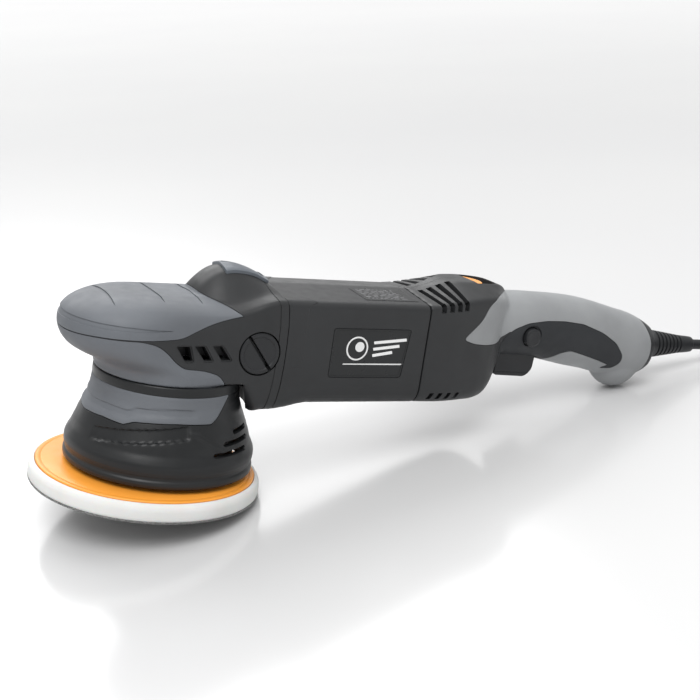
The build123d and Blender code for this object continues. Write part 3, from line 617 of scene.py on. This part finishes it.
def inlay_block(name, depth, margin):
    """Soft inlay round the front of the shroud: a curved slab with an eased lower edge and a groove."""
    edge_away, edge_heights = zip(*INLAY_EDGE)
    reach = edge_away[-1] + margin
    columns, rows = 124, 18
    sections = []
    for column in range(columns + 1):
        away = -reach + 2 * reach * column / columns
        azimuth = math.radians(180 + away)
        bottom = float(np.interp(abs(away), edge_away, edge_heights)) - margin
        top = 71.8 + margin * 0.3
        outer, inner = [], []
        for row in range(rows + 1):
            height = bottom + (max(top, bottom + 0.8) - bottom) * (row / rows)
            proud = 0.45 * ease(height - bottom, -0.3, 0.9) * ease(top - height, -0.3, 0.9)
            groove = 0.0
            if margin == 0.0:
                band = height - bottom
                ends = 1 - ease(abs(away), 90, 95)
                groove = 0.9 * ease(band, 3.4, 4.1) * (1 - ease(band, 7.6, 8.4)) * ends
            radius = skin_radius(height)
            outer.append(around(radius + (6.0 if margin else proud - groove), azimuth, height))
            inner.append(around(max(radius - depth, 45.2), azimuth, height))
        sections.append(outer + inner[::-1])
    return loft(name, sections)


# ---- head
# Height, where the round nose has its centre, its radius.
HEAD_SHAPE = [
    (78, -1, 46.5), (84, -3.5, 45.8), (88, -10, 45.2), (91, -17.5, 45), (93.5, -22, 45), (97, -25.5, 45),
    (101, -27.8, 45), (106, -29, 45.2), (111, -29, 45), (115, -28.5, 44.3), (118.5, -27.3, 42.6),
    (122, -25.6, 39.4), (125.4, -23.6, 34), (128, -21.5, 26), (129.4, -20, 18),
]
# Distance along, half width, bottom, crease, crown.
SHOULDER_SHAPE = [
    (7, 30, 90, 118, 126), (10.5, 33, 87, 118.8, 134), (16, 36.8, 83, 120, 140.8),
    (22, 38.6, 80, 121.5, 145.6), (29, 39, 78, 123.5, 148.2), (38, 39.1, 70, 126.5, 148),
    (46, 39.2, 58.2, 130, 146), (54, 39.1, 58.2, 132.5, 142.8),
    (62, 38.9, 58.2, 133.2, 138.8), (68, 38.9, 58.2, 132.9, 137.4),
]
# Side outlines, along and up, of the two soft skins and of the seam with the motor housing.
CAP_REGION = [
    (-95, 105), (-73.8, 105), (-63, 106.3), (-42, 107.2), (-20, 107.8), (-10, 108.6), (-2, 112.5), (8, 117),
    (20, 120.6), (31, 122.8), (24, 126.6), (15, 129.5), (9, 131.5), (8, 146), (-95, 146),
]
NECK_REGION = [
    (-95, 104.4), (-73, 104.4), (-62, 105.6), (-36, 106.4), (-26, 104.2), (-19, 99.5), (-13, 93.5),
    (-7, 89.5), (7, 88.0), (18, 84.8), (23.5, 78.6), (23.5, 70), (-95, 70),
]
SEAM_LINE = [
    (59.4, 145), (59.9, 137.4), (61.8, 128), (63.0, 117), (63.3, 104), (63.2, 92), (62.4, 78.4),
    (60.6, 66), (59.6, 52),
]


def head_outline(height, nose, radius):
    """Plan of the head at a height: a round nose with sides that run back into the gear case."""
    points = []
    for step in range(61):
        points.append(around(radius, math.radians(90 + 180 * step / 60), height, centre=(nose, 0.0)))
    back = min(39.0, radius)
    for x, side in ((0.0, -1), (30.0, -1), (54.0, -1), (54.0, 1), (30.0, 1), (0.0, 1)):
        share = min(1.0, (x - nose) / (30 - nose))
        points.append((x, side * (radius + (back - radius) * share), height))
    return points


def barrel_loft(name, rows, low_corner=14):
    """Solid through barrel sections given as (x, half width, bottom, crease, crown)."""
    sections = []
    for x, half, bottom, crease, crown in rows:
        points = [(-half, bottom), (half, bottom), (half, crease), (0, crown), (-half, crease)]
        sections.append(across(x, rounded(points, [low_corner, low_corner, 5.5, 2.5, 5.5], 8)))
    return loft(name, sections)


def shoulder_outline(x, half, bottom, crease, crown):
    """Cross-section of the gear case: its roof is bell-shaped and straightens towards the barrel."""
    rise, bell = crown - crease, 1 - ease(x, 46, 62)
    profile = ((1.0, 0.0, 0.0), (0.7, 0.3, 0.22), (0.48, 0.52, 0.62), (0.28, 0.72, 0.9), (0.0, 1.0, 1.0))
    roof = [(share * half, crease + rise * (straight + bell * (bent - straight)))
            for share, straight, bent in profile]
    points = [(-half, bottom), (half, bottom)] + roof + [(-y, z) for y, z in roof[-2::-1]]
    return rounded(points, [14, 14, 3.5] + [3] * 7 + [3.5], 6)


def make_head():
    """Gear case, blended from a head, a shoulder and a collar, with its soft cap and neck."""
    housing = loft("head_outer", [head_outline(*row) for row in resample(HEAD_SHAPE, 40)])
    shoulder = [across(row[0], shoulder_outline(*row)) for row in resample(SHOULDER_SHAPE, 40)]
    join(housing, loft("shoulder", shoulder), lathe("collar", rectangle(0, 44, 66, 80), steps=96))
    remesh(housing, 0.95, 5)
    core = inset(housing, SOFT_SKIN, "head_core")
    shallow = inset(housing, 0.8, "head_shallow", 1.2)
    make_badge(housing)
    common(housing, prism("front", SEAM_LINE + [(-140, 52), (-140, 160), (59.4, 160)]))

    cap_region = rounded(CAP_REGION, [0.8 if x == 31 else 5 for x, _ in CAP_REGION])
    neck_region = rounded(NECK_REGION, 4)
    cap = soft_skin(housing, "head_cap", cap_region, core)
    neck = soft_skin(housing, "neck_skin", neck_region, core)

    # shallow lens-shaped grooves across the cap, and a band sunk into its brow
    for x, reach in ((-49, 26), (-18, 28), (7, 28)):
        stations = [reach * step / 10 for step in range(-10, 11)]
        front = [(x - 1.1 * (1 - (y / reach) ** 2) - 0.05, y) for y in stations]
        strip = front + [(2 * x - a, y) for a, y in front[::-1]]
        cut(cap, cut(prism("groove", strip, 118, 152, "XY"), shallow, keep=True))
    brow = [(-90, 111.2), (-40, 111.8), (-16, 113.4), (-40, 114.6), (-90, 114.8)]
    cut(cap, cut(prism("brow", brow), inset(housing, 0.45, "brow_core", 1.2)))

    # gear case: the blended body without its soft skins and its chambers
    inner = inset(core, SKIN_GAP, "inner_core")
    for region in (cap_region, neck_region):
        clear_skin(housing, region, 0.28, inner)
    for name, outline, steps in (
        ("notch_low", rectangle(0, 53, 50, 66), 120), ("notch_high", rectangle(44.1, 53, 60, 78), 120),
        ("gear_chamber", rectangle(0, 38.6, 65, 95), 96), ("tunnel", rectangle(0, 14.05, 94, 115.5), 64),
    ):
        cut(housing, lathe(name, outline, steps=steps))
    bores = [(0, 0), (0, 14), (38.5, 14), (38.5, 16.05), (52, 16.05), (52, 33), (70, 33), (70, 0)]
    cut(housing, turned("motor_bores", bores, ((0, 0, AXIS_HEIGHT), (1, 0, 0))))

    for side in (LEFT, RIGHT):
        for top_left, top_right, low_left, low_right in (
            (-13, -4, -6.5, -1.0), (-0.6, 6.2, 7.0, 12.6), (12, 18.4, 19.2, 25.8),
        ):
            vent = rounded([(top_left, 103.5), (top_right, 103.5), (low_right, 94.2), (low_left, 94.2)], 0.8)
            ends = side * 31.0, side * 60.0
            cut(housing, prism("vent", vent, *ends))
            cut(housing, cut(prism("mouth", grow(vent, 0.9), *ends), shallow, keep=True))
        seat = [(30, 0), (30, 7.2), (34.4, 7.2), (34.4, 14.5), (60, 14.5), (60, 0)]
        cut(housing, turned("plug_seat", seat, ((PLUG_X, 0, PLUG_Z), (0, side, 0))))
    cut_flange_line(housing)
    show(housing, "black_plastic", "gear_housing")
    show(cap, "grip_rubber", "head_grip")
    show(neck, "grip_rubber", "neck_grip")
    discard(core, shallow, inner)


def cut_flange_line(housing):
    """Shallow line round the gear case, a little ahead of its seam with the motor housing."""
    band = [(x - 6.1, z) for x, z in SEAM_LINE] + [(x - 5.5, z) for x, z in SEAM_LINE[::-1]]
    cut(housing, cut(prism("flange_line", band), inset(housing, 0.35, "flange_core", 1.2)))


def make_side_plugs():
    """Slotted screw plugs that close the side-handle sockets."""
    for side, name in SIDES:
        outline = [
            (24.5, 0), (24.5, 6.6), (25, 7), (34.5, 7), (34.6, 12.6), (35, 13.3), (38.6, 13.7),
            (39.2, 13.4), (39.5, 12.8), (39.5, 11.2), (39.0, 10.6), (39.0, 0),
        ]
        plug = turned("plug_cap_" + name, outline, ((PLUG_X, 0, PLUG_Z), (0, side, 0)))
        c, s = math.cos(math.radians(-52)), math.sin(math.radians(-52))
        slot = [(PLUG_X + a * c - b * s, PLUG_Z + a * s + b * c)
                for a, b in rounded(rectangle(-15, 15, -1.15, 1.15), 0.3)]
        cut(plug, prism("slot", slot, side * 34.6, side * 50))
        show(plug, "control_plastic", "side_plug_" + name)


def badge_plan(front, back, half, radius):
    """Plan of the badge: square in front, with two cut corners at the back."""
    return rounded([(front, -half), (back - 2, -half), (back, 2.5 - half), (back, half - 2.5),
                    (back - 2, half), (front, half)], radius)


def make_badge(head):
    """Thin badge that follows the top of the gear case, with a plain recessed panel."""
    badge = inset(head, -1.7, "badge_plate", 1.0)
    floor = inset(head, -1.1, "badge_floor", 1.0)
    common(badge, prism("badge_plan", badge_plan(27, 59, 12.5, 1.5), 120, 160, "XY"))
    field = prism("badge_field", badge_plan(28.5, 56, 9.5, 3), 118, 162, "XY")
    cut(badge, cut(field, floor))
    cut(badge, head, keep=True)
    show(badge, "badge_plastic", "top_badge")


# ---- motor housing and its marks
PANEL = (97.0, 155.5, 83.4, 116.3)  # front, back, low, high
FACET_TOP, CREASE, HALF_WIDTH = 137.2, 132.9, 38.5


def panel_outline(margin, radius):
    """Side panel: a rectangle whose rear edge leans, grown or shrunk by a margin."""
    front, back, low, high = PANEL
    points = [
        (front - margin, low - margin), (back - 3.5 + margin, low - margin),
        (back + margin, high + margin), (front - margin, high + margin),
    ]
    return rounded(points, radius, 5)


def make_motor_housing():
    """Faceted barrel with a collar and a foot at its front, side panels and printed marks."""
    rows = [
        (56, HALF_WIDTH, 62.8, CREASE, FACET_TOP), (168.2, HALF_WIDTH, 62.8, CREASE, FACET_TOP),
        (168.9, HALF_WIDTH - 0.4, 63.2, CREASE - 0.4, FACET_TOP - 0.4),
    ]
    housing = barrel_loft("motor_barrel", rows)
    collar = barrel_loft("motor_collar", [(56, 38.9, 61.6, 133.3, 137.7), (86, 38.8, 62.4, 133.2, 137.5)])
    half_facet = [(50, -45), (72, -45), (75, -39.2), (83, -36)]
    facet = half_facet + [(60.5, 0)] + [(x, -y) for x, y in half_facet[::-1]]
    join(housing, common(collar, prism("facet", facet, 90, 150, "XY")))
    foot = ((56, 38.9, 58.4), (64, 38.88, 58.7), (72, 38.8, 60.0), (80, 38.6, 61.8), (87, 38.45, 62.9))
    join(housing, barrel_loft("motor_foot", [(*row, 132.8, 137) for row in foot]))
    cut(housing, barrel_loft("motor_hollow", [(x, 35.5, 66, 130.5, 135) for x in (50, 180)], 11))
    cut(housing, prism("ahead", [(x + 0.55, z) for x, z in SEAM_LINE] + [(20, 52), (20, 145)]))
    for side in (LEFT, RIGHT):
        cut(housing, prism("panel_seat", panel_outline(0.5, 2.4), side * 37.9, side * 50))
    show(housing, "black_plastic", "motor_housing", sharp=20)

    for side, name in SIDES:
        panel = prism("panel_" + name, panel_outline(0.0, 2.0), side * 37.6, side * 38.35)
        cut(panel, prism("panel_field", panel_outline(-1.0, 1.4), side * 38.1, side * 50))
        show(panel, "label_film", "side_label_" + name)
        make_mark(side, name)


def make_mark(side, name):
    """Generic printed mark: a ring round an off-centre disc, with three slanted bars and a rule."""
    centre_x, centre_z = 127.0, 101.5
    face = side * 38.18
    printed = (face, face - side * 0.12)

    def on_panel(points):
        """Mark outline, mirrored on the right so that it reads the same way round."""
        return [(centre_x - side * a, centre_z + b) for a, b in points]

    def circle(a, b, radius, count=40):
        return on_panel([around(radius, 2 * math.pi * i / count, centre=(a, b)) for i in range(count)])

    ring = prism("mark_" + name, circle(-11, 1.5, 8.2), *printed)
    cut(ring, prism("mark_hole", circle(-11, 1.5, 7.1), face + side, face - side))
    pieces = [prism("mark_disc", circle(-9.2, 2.6, 3.4), *printed)]
    for low, length in ((4.6, 25.0), (0.2, 20.0), (-4.2, 15.0)):
        bar = [(1.5, low), (1.5 + length, low + 2.4), (1.0 + length, low + 4.4), (1.0, low + 1.9)]
        pieces.append(prism("mark_bar", rounded(on_panel(bar), 0.4), *printed))
    sweep = [(-20.5, -9.6), (24, -9.6), (26.5, -8.7), (-20, -8.9)]
    pieces.append(prism("mark_rule", on_panel(sweep), *printed))
    merge(ring, pieces)
    show(ring, "label_film", material="print_white")


def merge(piece, others):
    """Add the meshes of loose pieces to one object."""
    work = bmesh.new()
    work.from_mesh(piece.data)
    for other in others:
        work.from_mesh(other.data)
    work.to_mesh(piece.data)
    work.free()
    discard(*others)
    return piece


def make_rating_label():
    """Printed plate on the near top facet, with ruled lines in place of lettering."""
    slope = math.atan2(FACET_TOP - CREASE, HALF_WIDTH)
    outward = Vector((0, -math.sin(slope), math.cos(slope)))
    down = Vector((0, -math.cos(slope), -math.sin(slope)))
    origin = Vector((142, -17, FACET_TOP - 17 * math.tan(slope)))

    def plate(name, points, low, high):
        """Flat piece on the facet, between two distances from it."""
        return loft(name, [
            [tuple(origin + Vector((a, 0, 0)) + down * b + outward * lift) for a, b in points]
            for lift in (low, high)
        ])

    card = plate("rating_plate", rounded([(-21, -12), (20, -12), (22, 12), (-19, 12)], 1.2), 0.05, 0.2)
    show(card, "label_film", "rating_label")
    draw = random.Random(7)
    rules = []
    for row in range(7):
        low = -9.0 + row * 2.8
        start = -17.5 + row * 0.25
        while start < 12:
            end = min(start + draw.uniform(1.4, 5.0), 17.5)
            rules.append(plate("rule", rectangle(start, end, low, low + 0.6), 0.21, 0.25))
            start = end + draw.uniform(0.9, 2.4)
    printed = merge(rules[0], rules[1:])
    printed.name = "rating_rules"
    show(printed, "label_film", material="print_grey")


# ---- rear covers and handle
# Rear body: x, half width, bottom, crease, roof, half width of the roof's flat centre strip.
REAR_SHAPE = [
    (169.9, 38.4, 62.6, 132.9, 137.2, 0.8), (177, 38.4, 62.4, 133.4, 138.0, 2),
    (186, 38.2, 62.2, 134.6, 140.8, 5), (196, 37.6, 62.2, 136.0, 144.6, 8.5),
    (203, 36.8, 62.4, 136.8, 145.8, 12), (211, 35.8, 62.8, 137.6, 146.1, 13.5),
    (222, 33.8, 63.4, 138.2, 146.2, 13.5), (231, 30.5, 66, 138.2, 145.8, 13),
    (237, 26.5, 71, 137.2, 145.4, 12), (242, 22, 78, 135.5, 144.6, 10.5),
    (247, 18.5, 86, 132.8, 142.6, 8.5), (251, 16, 93, 129, 139, 6),
]
# Handle: x, height of its centre, half height, half width.
HANDLE_SHAPE = [
    (236, 113.5, 22, 21.5), (250, 114.3, 23.4, 22.6), (265, 114.4, 24, 22.4), (280, 114, 24.2, 22),
    (300, 112, 25.7, 21.6), (318, 109.7, 26.7, 21.6), (334, 107.3, 26.6, 22), (348, 104.4, 26.6, 22.4),
    (360, 102, 26.3, 22.6), (374, 99.8, 25.6, 22.4), (385, 99, 22.4, 20.8), (393, 99, 18.6, 18.0),
]
KNOB = (369.5, 89.6, 23.4)  # x, z, radius
# Side outlines: where the overmould ends at the back, the overmould, the insert.
END_LINE = [(379, 160), (382, 121), (387.5, 107.6), (388, 95.6), (385, 82), (381, 73), (379, 50)]
SLEEVE_REGION = [
    (252, 160), (251.5, 140.4), (241.4, 140.2), (229.5, 139.4), (220.4, 134.6), (214.6, 122.9),
    (200.4, 109.9), (211, 106.8), (222.6, 105.6), (236, 105.8), (244, 109.3), (250, 113.5), (252, 110),
    (252, 50), *END_LINE[::-1],
]
PALM_REGION = [
    (252, 58), (249, 72), (244, 84), (243, 98), (246, 108.5), (253, 114.6), (265, 119), (282, 121),
    (299, 121), (317, 119.2), (336, 113.2), (350, 105.6), (358.6, 96), (359, 90), (354, 85), (343.6, 84.4),
    (350, 87.8), (338, 91.6), (324, 95.4), (310, 98.8), (302, 96.4), (294, 90), (289, 82), (289, 58),
]
# Roof slots: x of the upper end, x at the crease, how far the roof has risen.
ROOF_SLOTS = ((175.2, 177.8, 0.0), (181.8, 184.4, 0.6), (188.4, 190.8, 1.2), (195.2, 196.8, 1.8))


def fuller(value):
    """Cosine or sine that swells a circle a little towards a square."""
    return math.copysign(abs(value) ** 0.92, value)


def make_rear():
    """Rear body, handle and knob as one blended skin, parted into its covers and soft skins."""
    sections = []
    for x, half, bottom, crease, roof, strip in resample(REAR_SHAPE, 34):
        corners = [(-half, bottom), (half, bottom), (half, crease), (strip, roof), (-strip, roof),
                   (-half, crease)]
        sections.append(across(x, rounded(corners, [15, 15, 3.5, 2, 2, 3.5], 8)))
    covers = loft("rear_outer", sections)
    angles = [2 * math.pi * step / 64 for step in range(64)]
    join(covers, loft("handle", [
        [(x, wide * fuller(math.cos(angle)), centre + tall * fuller(math.sin(angle))) for angle in angles]
        for x, centre, tall, wide in resample(HANDLE_SHAPE, 44)
    ]))
    knob_x, knob_z, knob_radius = KNOB
    ball = [around(knob_radius, math.radians(a)) for a in range(-90, 91, 5)]
    knob = lathe("knob", [(max(r, 0.0), z) for r, z in ball], steps=96)
    knob.data.transform(Matrix.Translation((knob_x, 0, knob_z)) @ Matrix.Diagonal((0.94, 0.82, 1.0, 1.0)))
    join(covers, knob)
    remesh(covers, 1.0, 5)
    cut(covers, prism("face_trim", rectangle(160, 169.95, 40, 170)))
    core = inset(covers, SOFT_SKIN, "rear_core")
    inner = inset(core, SKIN_GAP, "rear_inner")
    hollow = inset(core, 2.9, "rear_hollow")
    cut(hollow, prism("end_wall", rectangle(352, 420, 40, 170)))
    open_front = barrel_loft("open_front", [(165, 34, 66, 129, 134), (190, 34, 66, 130, 136)], 10)

    sleeve_region = rounded(SLEEVE_REGION, 4)
    palm_region = rounded(PALM_REGION, 3)
    sleeve = soft_skin(covers, "handle_sleeve", sleeve_region, core)
    palm = soft_skin(covers, "palm_insert", palm_region, core)
    cut(sleeve, prism("palm_gap", grow(palm_region, 0.35), -61, 61))
    beyond = [(420, 50), (420, 160)]
    end = common(copy(covers, "handle_end"), prism("end_prism", [(x + 0.4, z) for x, z in END_LINE] + beyond))
    show(end, "cord_rubber")

    cut(covers, prism("end_off", END_LINE + beyond, -61, 61))
    for region in (sleeve_region, palm_region):
        clear_skin(covers, region, 0.3, inner)
    cut(covers, hollow, open_front)

    # lead channel, dial well and scoop, trigger opening, cooling slots
    cut(covers, drill("lead_channel", 10.1, 340, 400, LEAD_LINE))
    cut(covers, lathe("dial_well", rectangle(0, 15.8, 138.6, 145.1), (DIAL_X, 0), 96))
    scoop = [(219.5, -14.5), (236, -12.5), (246.5, 0), (236, 12.5), (219.5, 14.5)]
    scoop = rounded(scoop, [1.5, 9, 9, 9, 1.5], 8)
    low = [(x, y, 141.0) for x, y in scoop]
    high = [(233 + (x - 233) * 1.04, y * 1.06, 152) for x, y in scoop]
    cut(covers, loft("scoop", [low, high]))
    way = rounded([(250, 60), (287, 60), (287, 100), (238, 100), (238, 86.5), (250, 86.5)], 1)
    opening = prism("trigger_way", way, -10.8, 10.8)
    for shell in (palm, sleeve, covers):
        cut(shell, opening, keep=True)
    discard(opening)
    well = [(9.5, 0), (9.5, 7.5), (21.2, 7.5), (21.2, 8.6), (40, 10.4), (40, 0)]
    cut(palm, turned("button_well", well, BUTTON_LINE))
    cut(covers, drill("button_way", 7.5, 9.5, 40, BUTTON_LINE))
    for side in (LEFT, RIGHT):
        for step, slot in enumerate(ROOF_SLOTS):
            cut(covers, roof_slot(*slot, side))
            x = 177.5 + 7.4 * step
            foot = rounded([(x, 66.6), (x + 3.6, 66.6), (x + 5.2, 71.6), (x + 1.8, 71.6)], 0.5)
            cut(covers, prism("foot_slot", foot, side * 33, side * 60))

    # the two halves meet in the middle plane
    for side, name in SIDES:
        half = copy(covers, "cover_shell_" + name)
        common(half, prism("half", rectangle(150, 430, 30, 180), side * 0.09, side * 70))
        if side == RIGHT:
            for x, z in ((196, 74), (232, 80), (306, 113), (344, 106)):
                line = ((x, 0, z), (0, 1, 0))
                cut(half, drill("screw_well", 3.8, 14, 60, line))
                if x > 300:
                    cut(sleeve, drill("screw_way", 3.8, 14, 60, line))
        show(half, "black_plastic", "cover_" + name)
    show(sleeve, "handle_rubber", "handle_grip")
    show(palm, "insert_rubber", "handle_insert")
    discard(covers, core, inner)


def roof_slot(x_top, x_bend, lift, side):
    """Bent cooling slot: down the roof's slope, round the crease and a little way down the flank."""
    width = 3.8
    # how far each section reaches in and out, as y and z of both
    slope, crease, flank = (-2.5, -7.0, 2, 6), (-6, -5, 6, 5), (-7.5, 0, 6, 0)
    path = [
        (x_top, 8, 140.2 + 1.6 * lift, slope), (x_top + 0.55 * (x_bend - x_top), 26, 137.2 + lift, slope),
        (x_bend - 0.6, 35, 134.8 + lift, crease), (x_bend, 38.5, 133.0 + lift, flank),
        (x_bend, 39, 128.6 + lift, flank),
    ]
    sections = []
    for x, y, z, (y_in, z_in, y_out, z_out) in path:
        deep, proud = (side * (y + y_in), z + z_in), (side * (y + y_out), z + z_out)
        sections.append([(x, *deep), (x + width, *deep), (x + width, *proud), (x, *proud)])
    return loft("roof_slot", sections)


# ---- controls
def make_controls():
    """Paddle trigger on its pin, lock button and the knurled wheel of the speed dial."""
    outline = [(251, 76.8), (279, 75.6), (284.6, 81), (285.4, 92.5), (258, 97.3), (239.8, 97.3),
               (239.8, 88.6), (251, 88.6)]
    outline = rounded(outline, [2.5, 6, 3, 1, 2, 3, 3, 0.5], 6)
    trigger = prism("trigger_paddle", outline, -9.7, 9.7)
    soften(trigger, 1.1, 3, 60)
    line = rounded([(248, 79.2), (281, 78.2), (281, 78.8), (248, 79.8)], 0.1)
    for side in (LEFT, RIGHT):
        cut(trigger, prism("line", line, side * 9.35, side * 12))
    cut(trigger, drill("pin_bore", 1.56, -12, 12, ((243.5, 0, 93), (0, 1, 0))))
    show(trigger, "control_plastic", "trigger", body="trigger")

    button = [(12.6, 0), (12.6, 6.8), (23.2, 6.9), (24.4, 6.4), (25.0, 5.2), (24.7, 3.4), (24.4, 0)]
    show(turned("button_cap", button, BUTTON_LINE), "control_plastic", "lock_button", body="lock_button")

    teeth, per_tooth = 40, 6
    rim = []
    for index in range(teeth * per_tooth):
        angle = 2 * math.pi * index / (teeth * per_tooth)
        radius = 15.4 - 0.55 * max(0.0, math.cos(angle * teeth)) ** 2
        rim.append(around(radius, angle, centre=(DIAL_X, 0.0)))
    wheel = prism("dial_wheel", rim, 139.2, 144.9, "XY")
    soften(wheel, 0.35, 2, 50)
    show(wheel, "orange_plastic", "speed_dial", body="speed_dial")


# ---- boot, cord and plug
def make_boot():
    """Tapered strain relief with a flange and seven soft ribs."""
    outline = [(381, 4.05), (381, 9.9), (391.2, 9.9), (391.2, 17.0), (392.6, 17.2), (394.4, 16.4),
               (396.4, 13.6), (399, 12.2), (402.5, 11.3)]
    for rib in range(7):
        front, radius = 404 + 4.3 * rib, 11.0 - 0.56 * rib
        outline += [(front, radius), (front + 0.35, radius - 1.7), (front + 1.5, radius - 1.8),
                    (front + 1.9, radius - 0.3)]
    outline += [(436, 7.0), (442, 6.6), (445.4, 6.2), (446, 5.6), (446, 4.05)]
    show(turned("strain_relief", outline, LEAD_LINE), "cord_rubber", "cord_boot", sharp=50)


# Route of the free cord from the boot to the coil, in metres in the row frame.
CORD_ROUTE = [
    (0.26824, 0.0, 0.01848), (0.29366, 0.0, 0.0130), (0.32124, -0.0008, 0.0057), (0.34324, -0.0028, 0.0041),
]
# The coil, in metres and degrees: it starts at the join angle on its outermost turn.
COIL_CENTRE = Vector((0.349544, -0.065))
OUTER_TURN, TOP_TURN, TOP_SHIFT, PITCH = 0.0586, 0.034, 0.022, 0.0082
JOIN_ANGLE, PLUG_HEADING = 75.0, -10.0
LAYERS, LANES = 3, 3
LIE = 0.0041
TOP_LIE = LIE + LAYERS * PITCH


def coil_points():
    """Three layers of the coil, clockwise from above: in, out and in again, then the top half turn."""
    points = []
    per_turn, swing = 24, 0.17
    last = LAYERS * LANES + 175 / 360
    steps = math.ceil(last * per_turn)
    climbs = (LANES, 2 * LANES, 3 * LANES)
    for step in range(steps + 1):
        turned_by = last * step / steps
        radius = OUTER_TURN - PITCH * LANES * abs((turned_by / LANES + 1) % 2 - 1)
        for climb, towards in zip(climbs, (1, -1, 1)):
            near = abs(turned_by - climb)
            if near < swing:
                radius += towards * PITCH * (swing - near) ** 2 / (2 * swing)
        if turned_by > climbs[-1]:
            radius = TOP_TURN
        height = LIE + PITCH * sum(ease(turned_by, climb - swing, climb + swing) for climb in climbs)
        angle = math.radians(JOIN_ANGLE - 360 * turned_by)
        points.append(around(radius, angle, height, centre=COIL_CENTRE))
    along = Vector(around(1.0, math.radians(PLUG_HEADING)))
    top_centre = COIL_CENTRE - TOP_SHIFT * along
    for step in range(15):
        angle = math.radians(-100 - 180 * step / 14)
        points.append(around(TOP_TURN, angle, TOP_LIE, centre=top_centre))
    return points, along, top_centre


def make_cord():
    """Free cord from the boot through its coil to the plug that lies on it."""
    turns, along, top_centre = coil_points()
    leave = top_centre + TOP_TURN * Vector((-along.y, along.x))
    axis_height = LAYERS * PITCH + 0.0081
    tail = [(*(leave + share * along), z) for share, z in
            ((0.009, TOP_LIE + 0.0010), (0.0175, axis_height - 0.00095), (0.0262, axis_height))]
    points = CORD_ROUTE + turns + tail
    data = bpy.data.curves.new("mains_cord", "CURVE")
    data.dimensions = "3D"
    data.bevel_depth = CORD_DIAMETER / 2
    data.bevel_resolution = 5
    data.resolution_u = 6
    data.use_fill_caps = True
    spline = data.splines.new("NURBS")
    spline.points.add(len(points) - 1)
    for made, point in zip(spline.points, points):
        made.co = (*point, 1.0)
    spline.order_u = 3
    spline.use_endpoint_u = True
    cord = add_object("mains_cord", data)
    data.materials.append(MATERIALS["cord_rubber"])
    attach(cord, "housing")
    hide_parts("cord_tube", "cord_coil", "cord_tail")
    plug = make_plug(leave + 0.026 * along, axis_height, along)


def make_plug(neck, height, along):
    """Flat two-pin plug with a ribbed neck and a shaped grip, drawn along its own axis in millimetres."""
    rows = [
        (0, 5, 5, 5), (1.5, 5.5, 5.5, 5.5), (20, 8.6, 6.8, 6), (24, 11.5, 7.5, 6), (29, 14.4, 7.9, 6),
        (34, 15.8, 8, 6), (42, 15.2, 7.9, 6), (49, 15, 7.9, 6), (53.5, 15.6, 8, 6), (55.4, 15.2, 7.8, 6),
        (56, 14.4, 7, 6),
    ]
    sections = []
    for distance, wide, tall, corner in rows:
        sections.append(across(distance, rounded(rectangle(-wide, wide, -tall, tall), corner, 8)))
    plug = loft("plug_moulding", sections)
    for rib in range(4):
        near, far = 4 + 4 * rib, 5.4 + 4 * rib
        ring = [(near, 20), (near, 5.0 + 0.7 * rib), (far, 5.2 + 0.7 * rib), (far, 20)]
        cut(plug, turned("neck_groove", ring, ((0, 0, 0), (1, 0, 0))))
    for side in (LEFT, RIGHT):
        cut(plug, drill("pin_bore", 2.46, 47, 60, ((0, side * 9.5, 0), (1, 0, 0))))
    heading = math.atan2(along.y, along.x)
    place = Matrix.Translation((neck.x, neck.y, height)) @ Matrix.Rotation(heading, 4, "Z") @ MILLIMETRES
    show(plug, "cord_rubber", "plug_body", place=place, sharp=40)
    return plug


def paint_inner_parts():
    """Each CAD node that stays gets the material of its record slot."""
    for part in frame["record"]["subparts"]:
        paint(frame["nodes"][part["node"]].data, part["material_slot"])


make_materials()
add_camera()
add_stage()
paint_inner_parts()
make_cord()
make_boot()
make_pad()
make_shroud()
make_head()
make_side_plugs()
make_motor_housing()
make_rating_label()
make_rear()
make_controls()
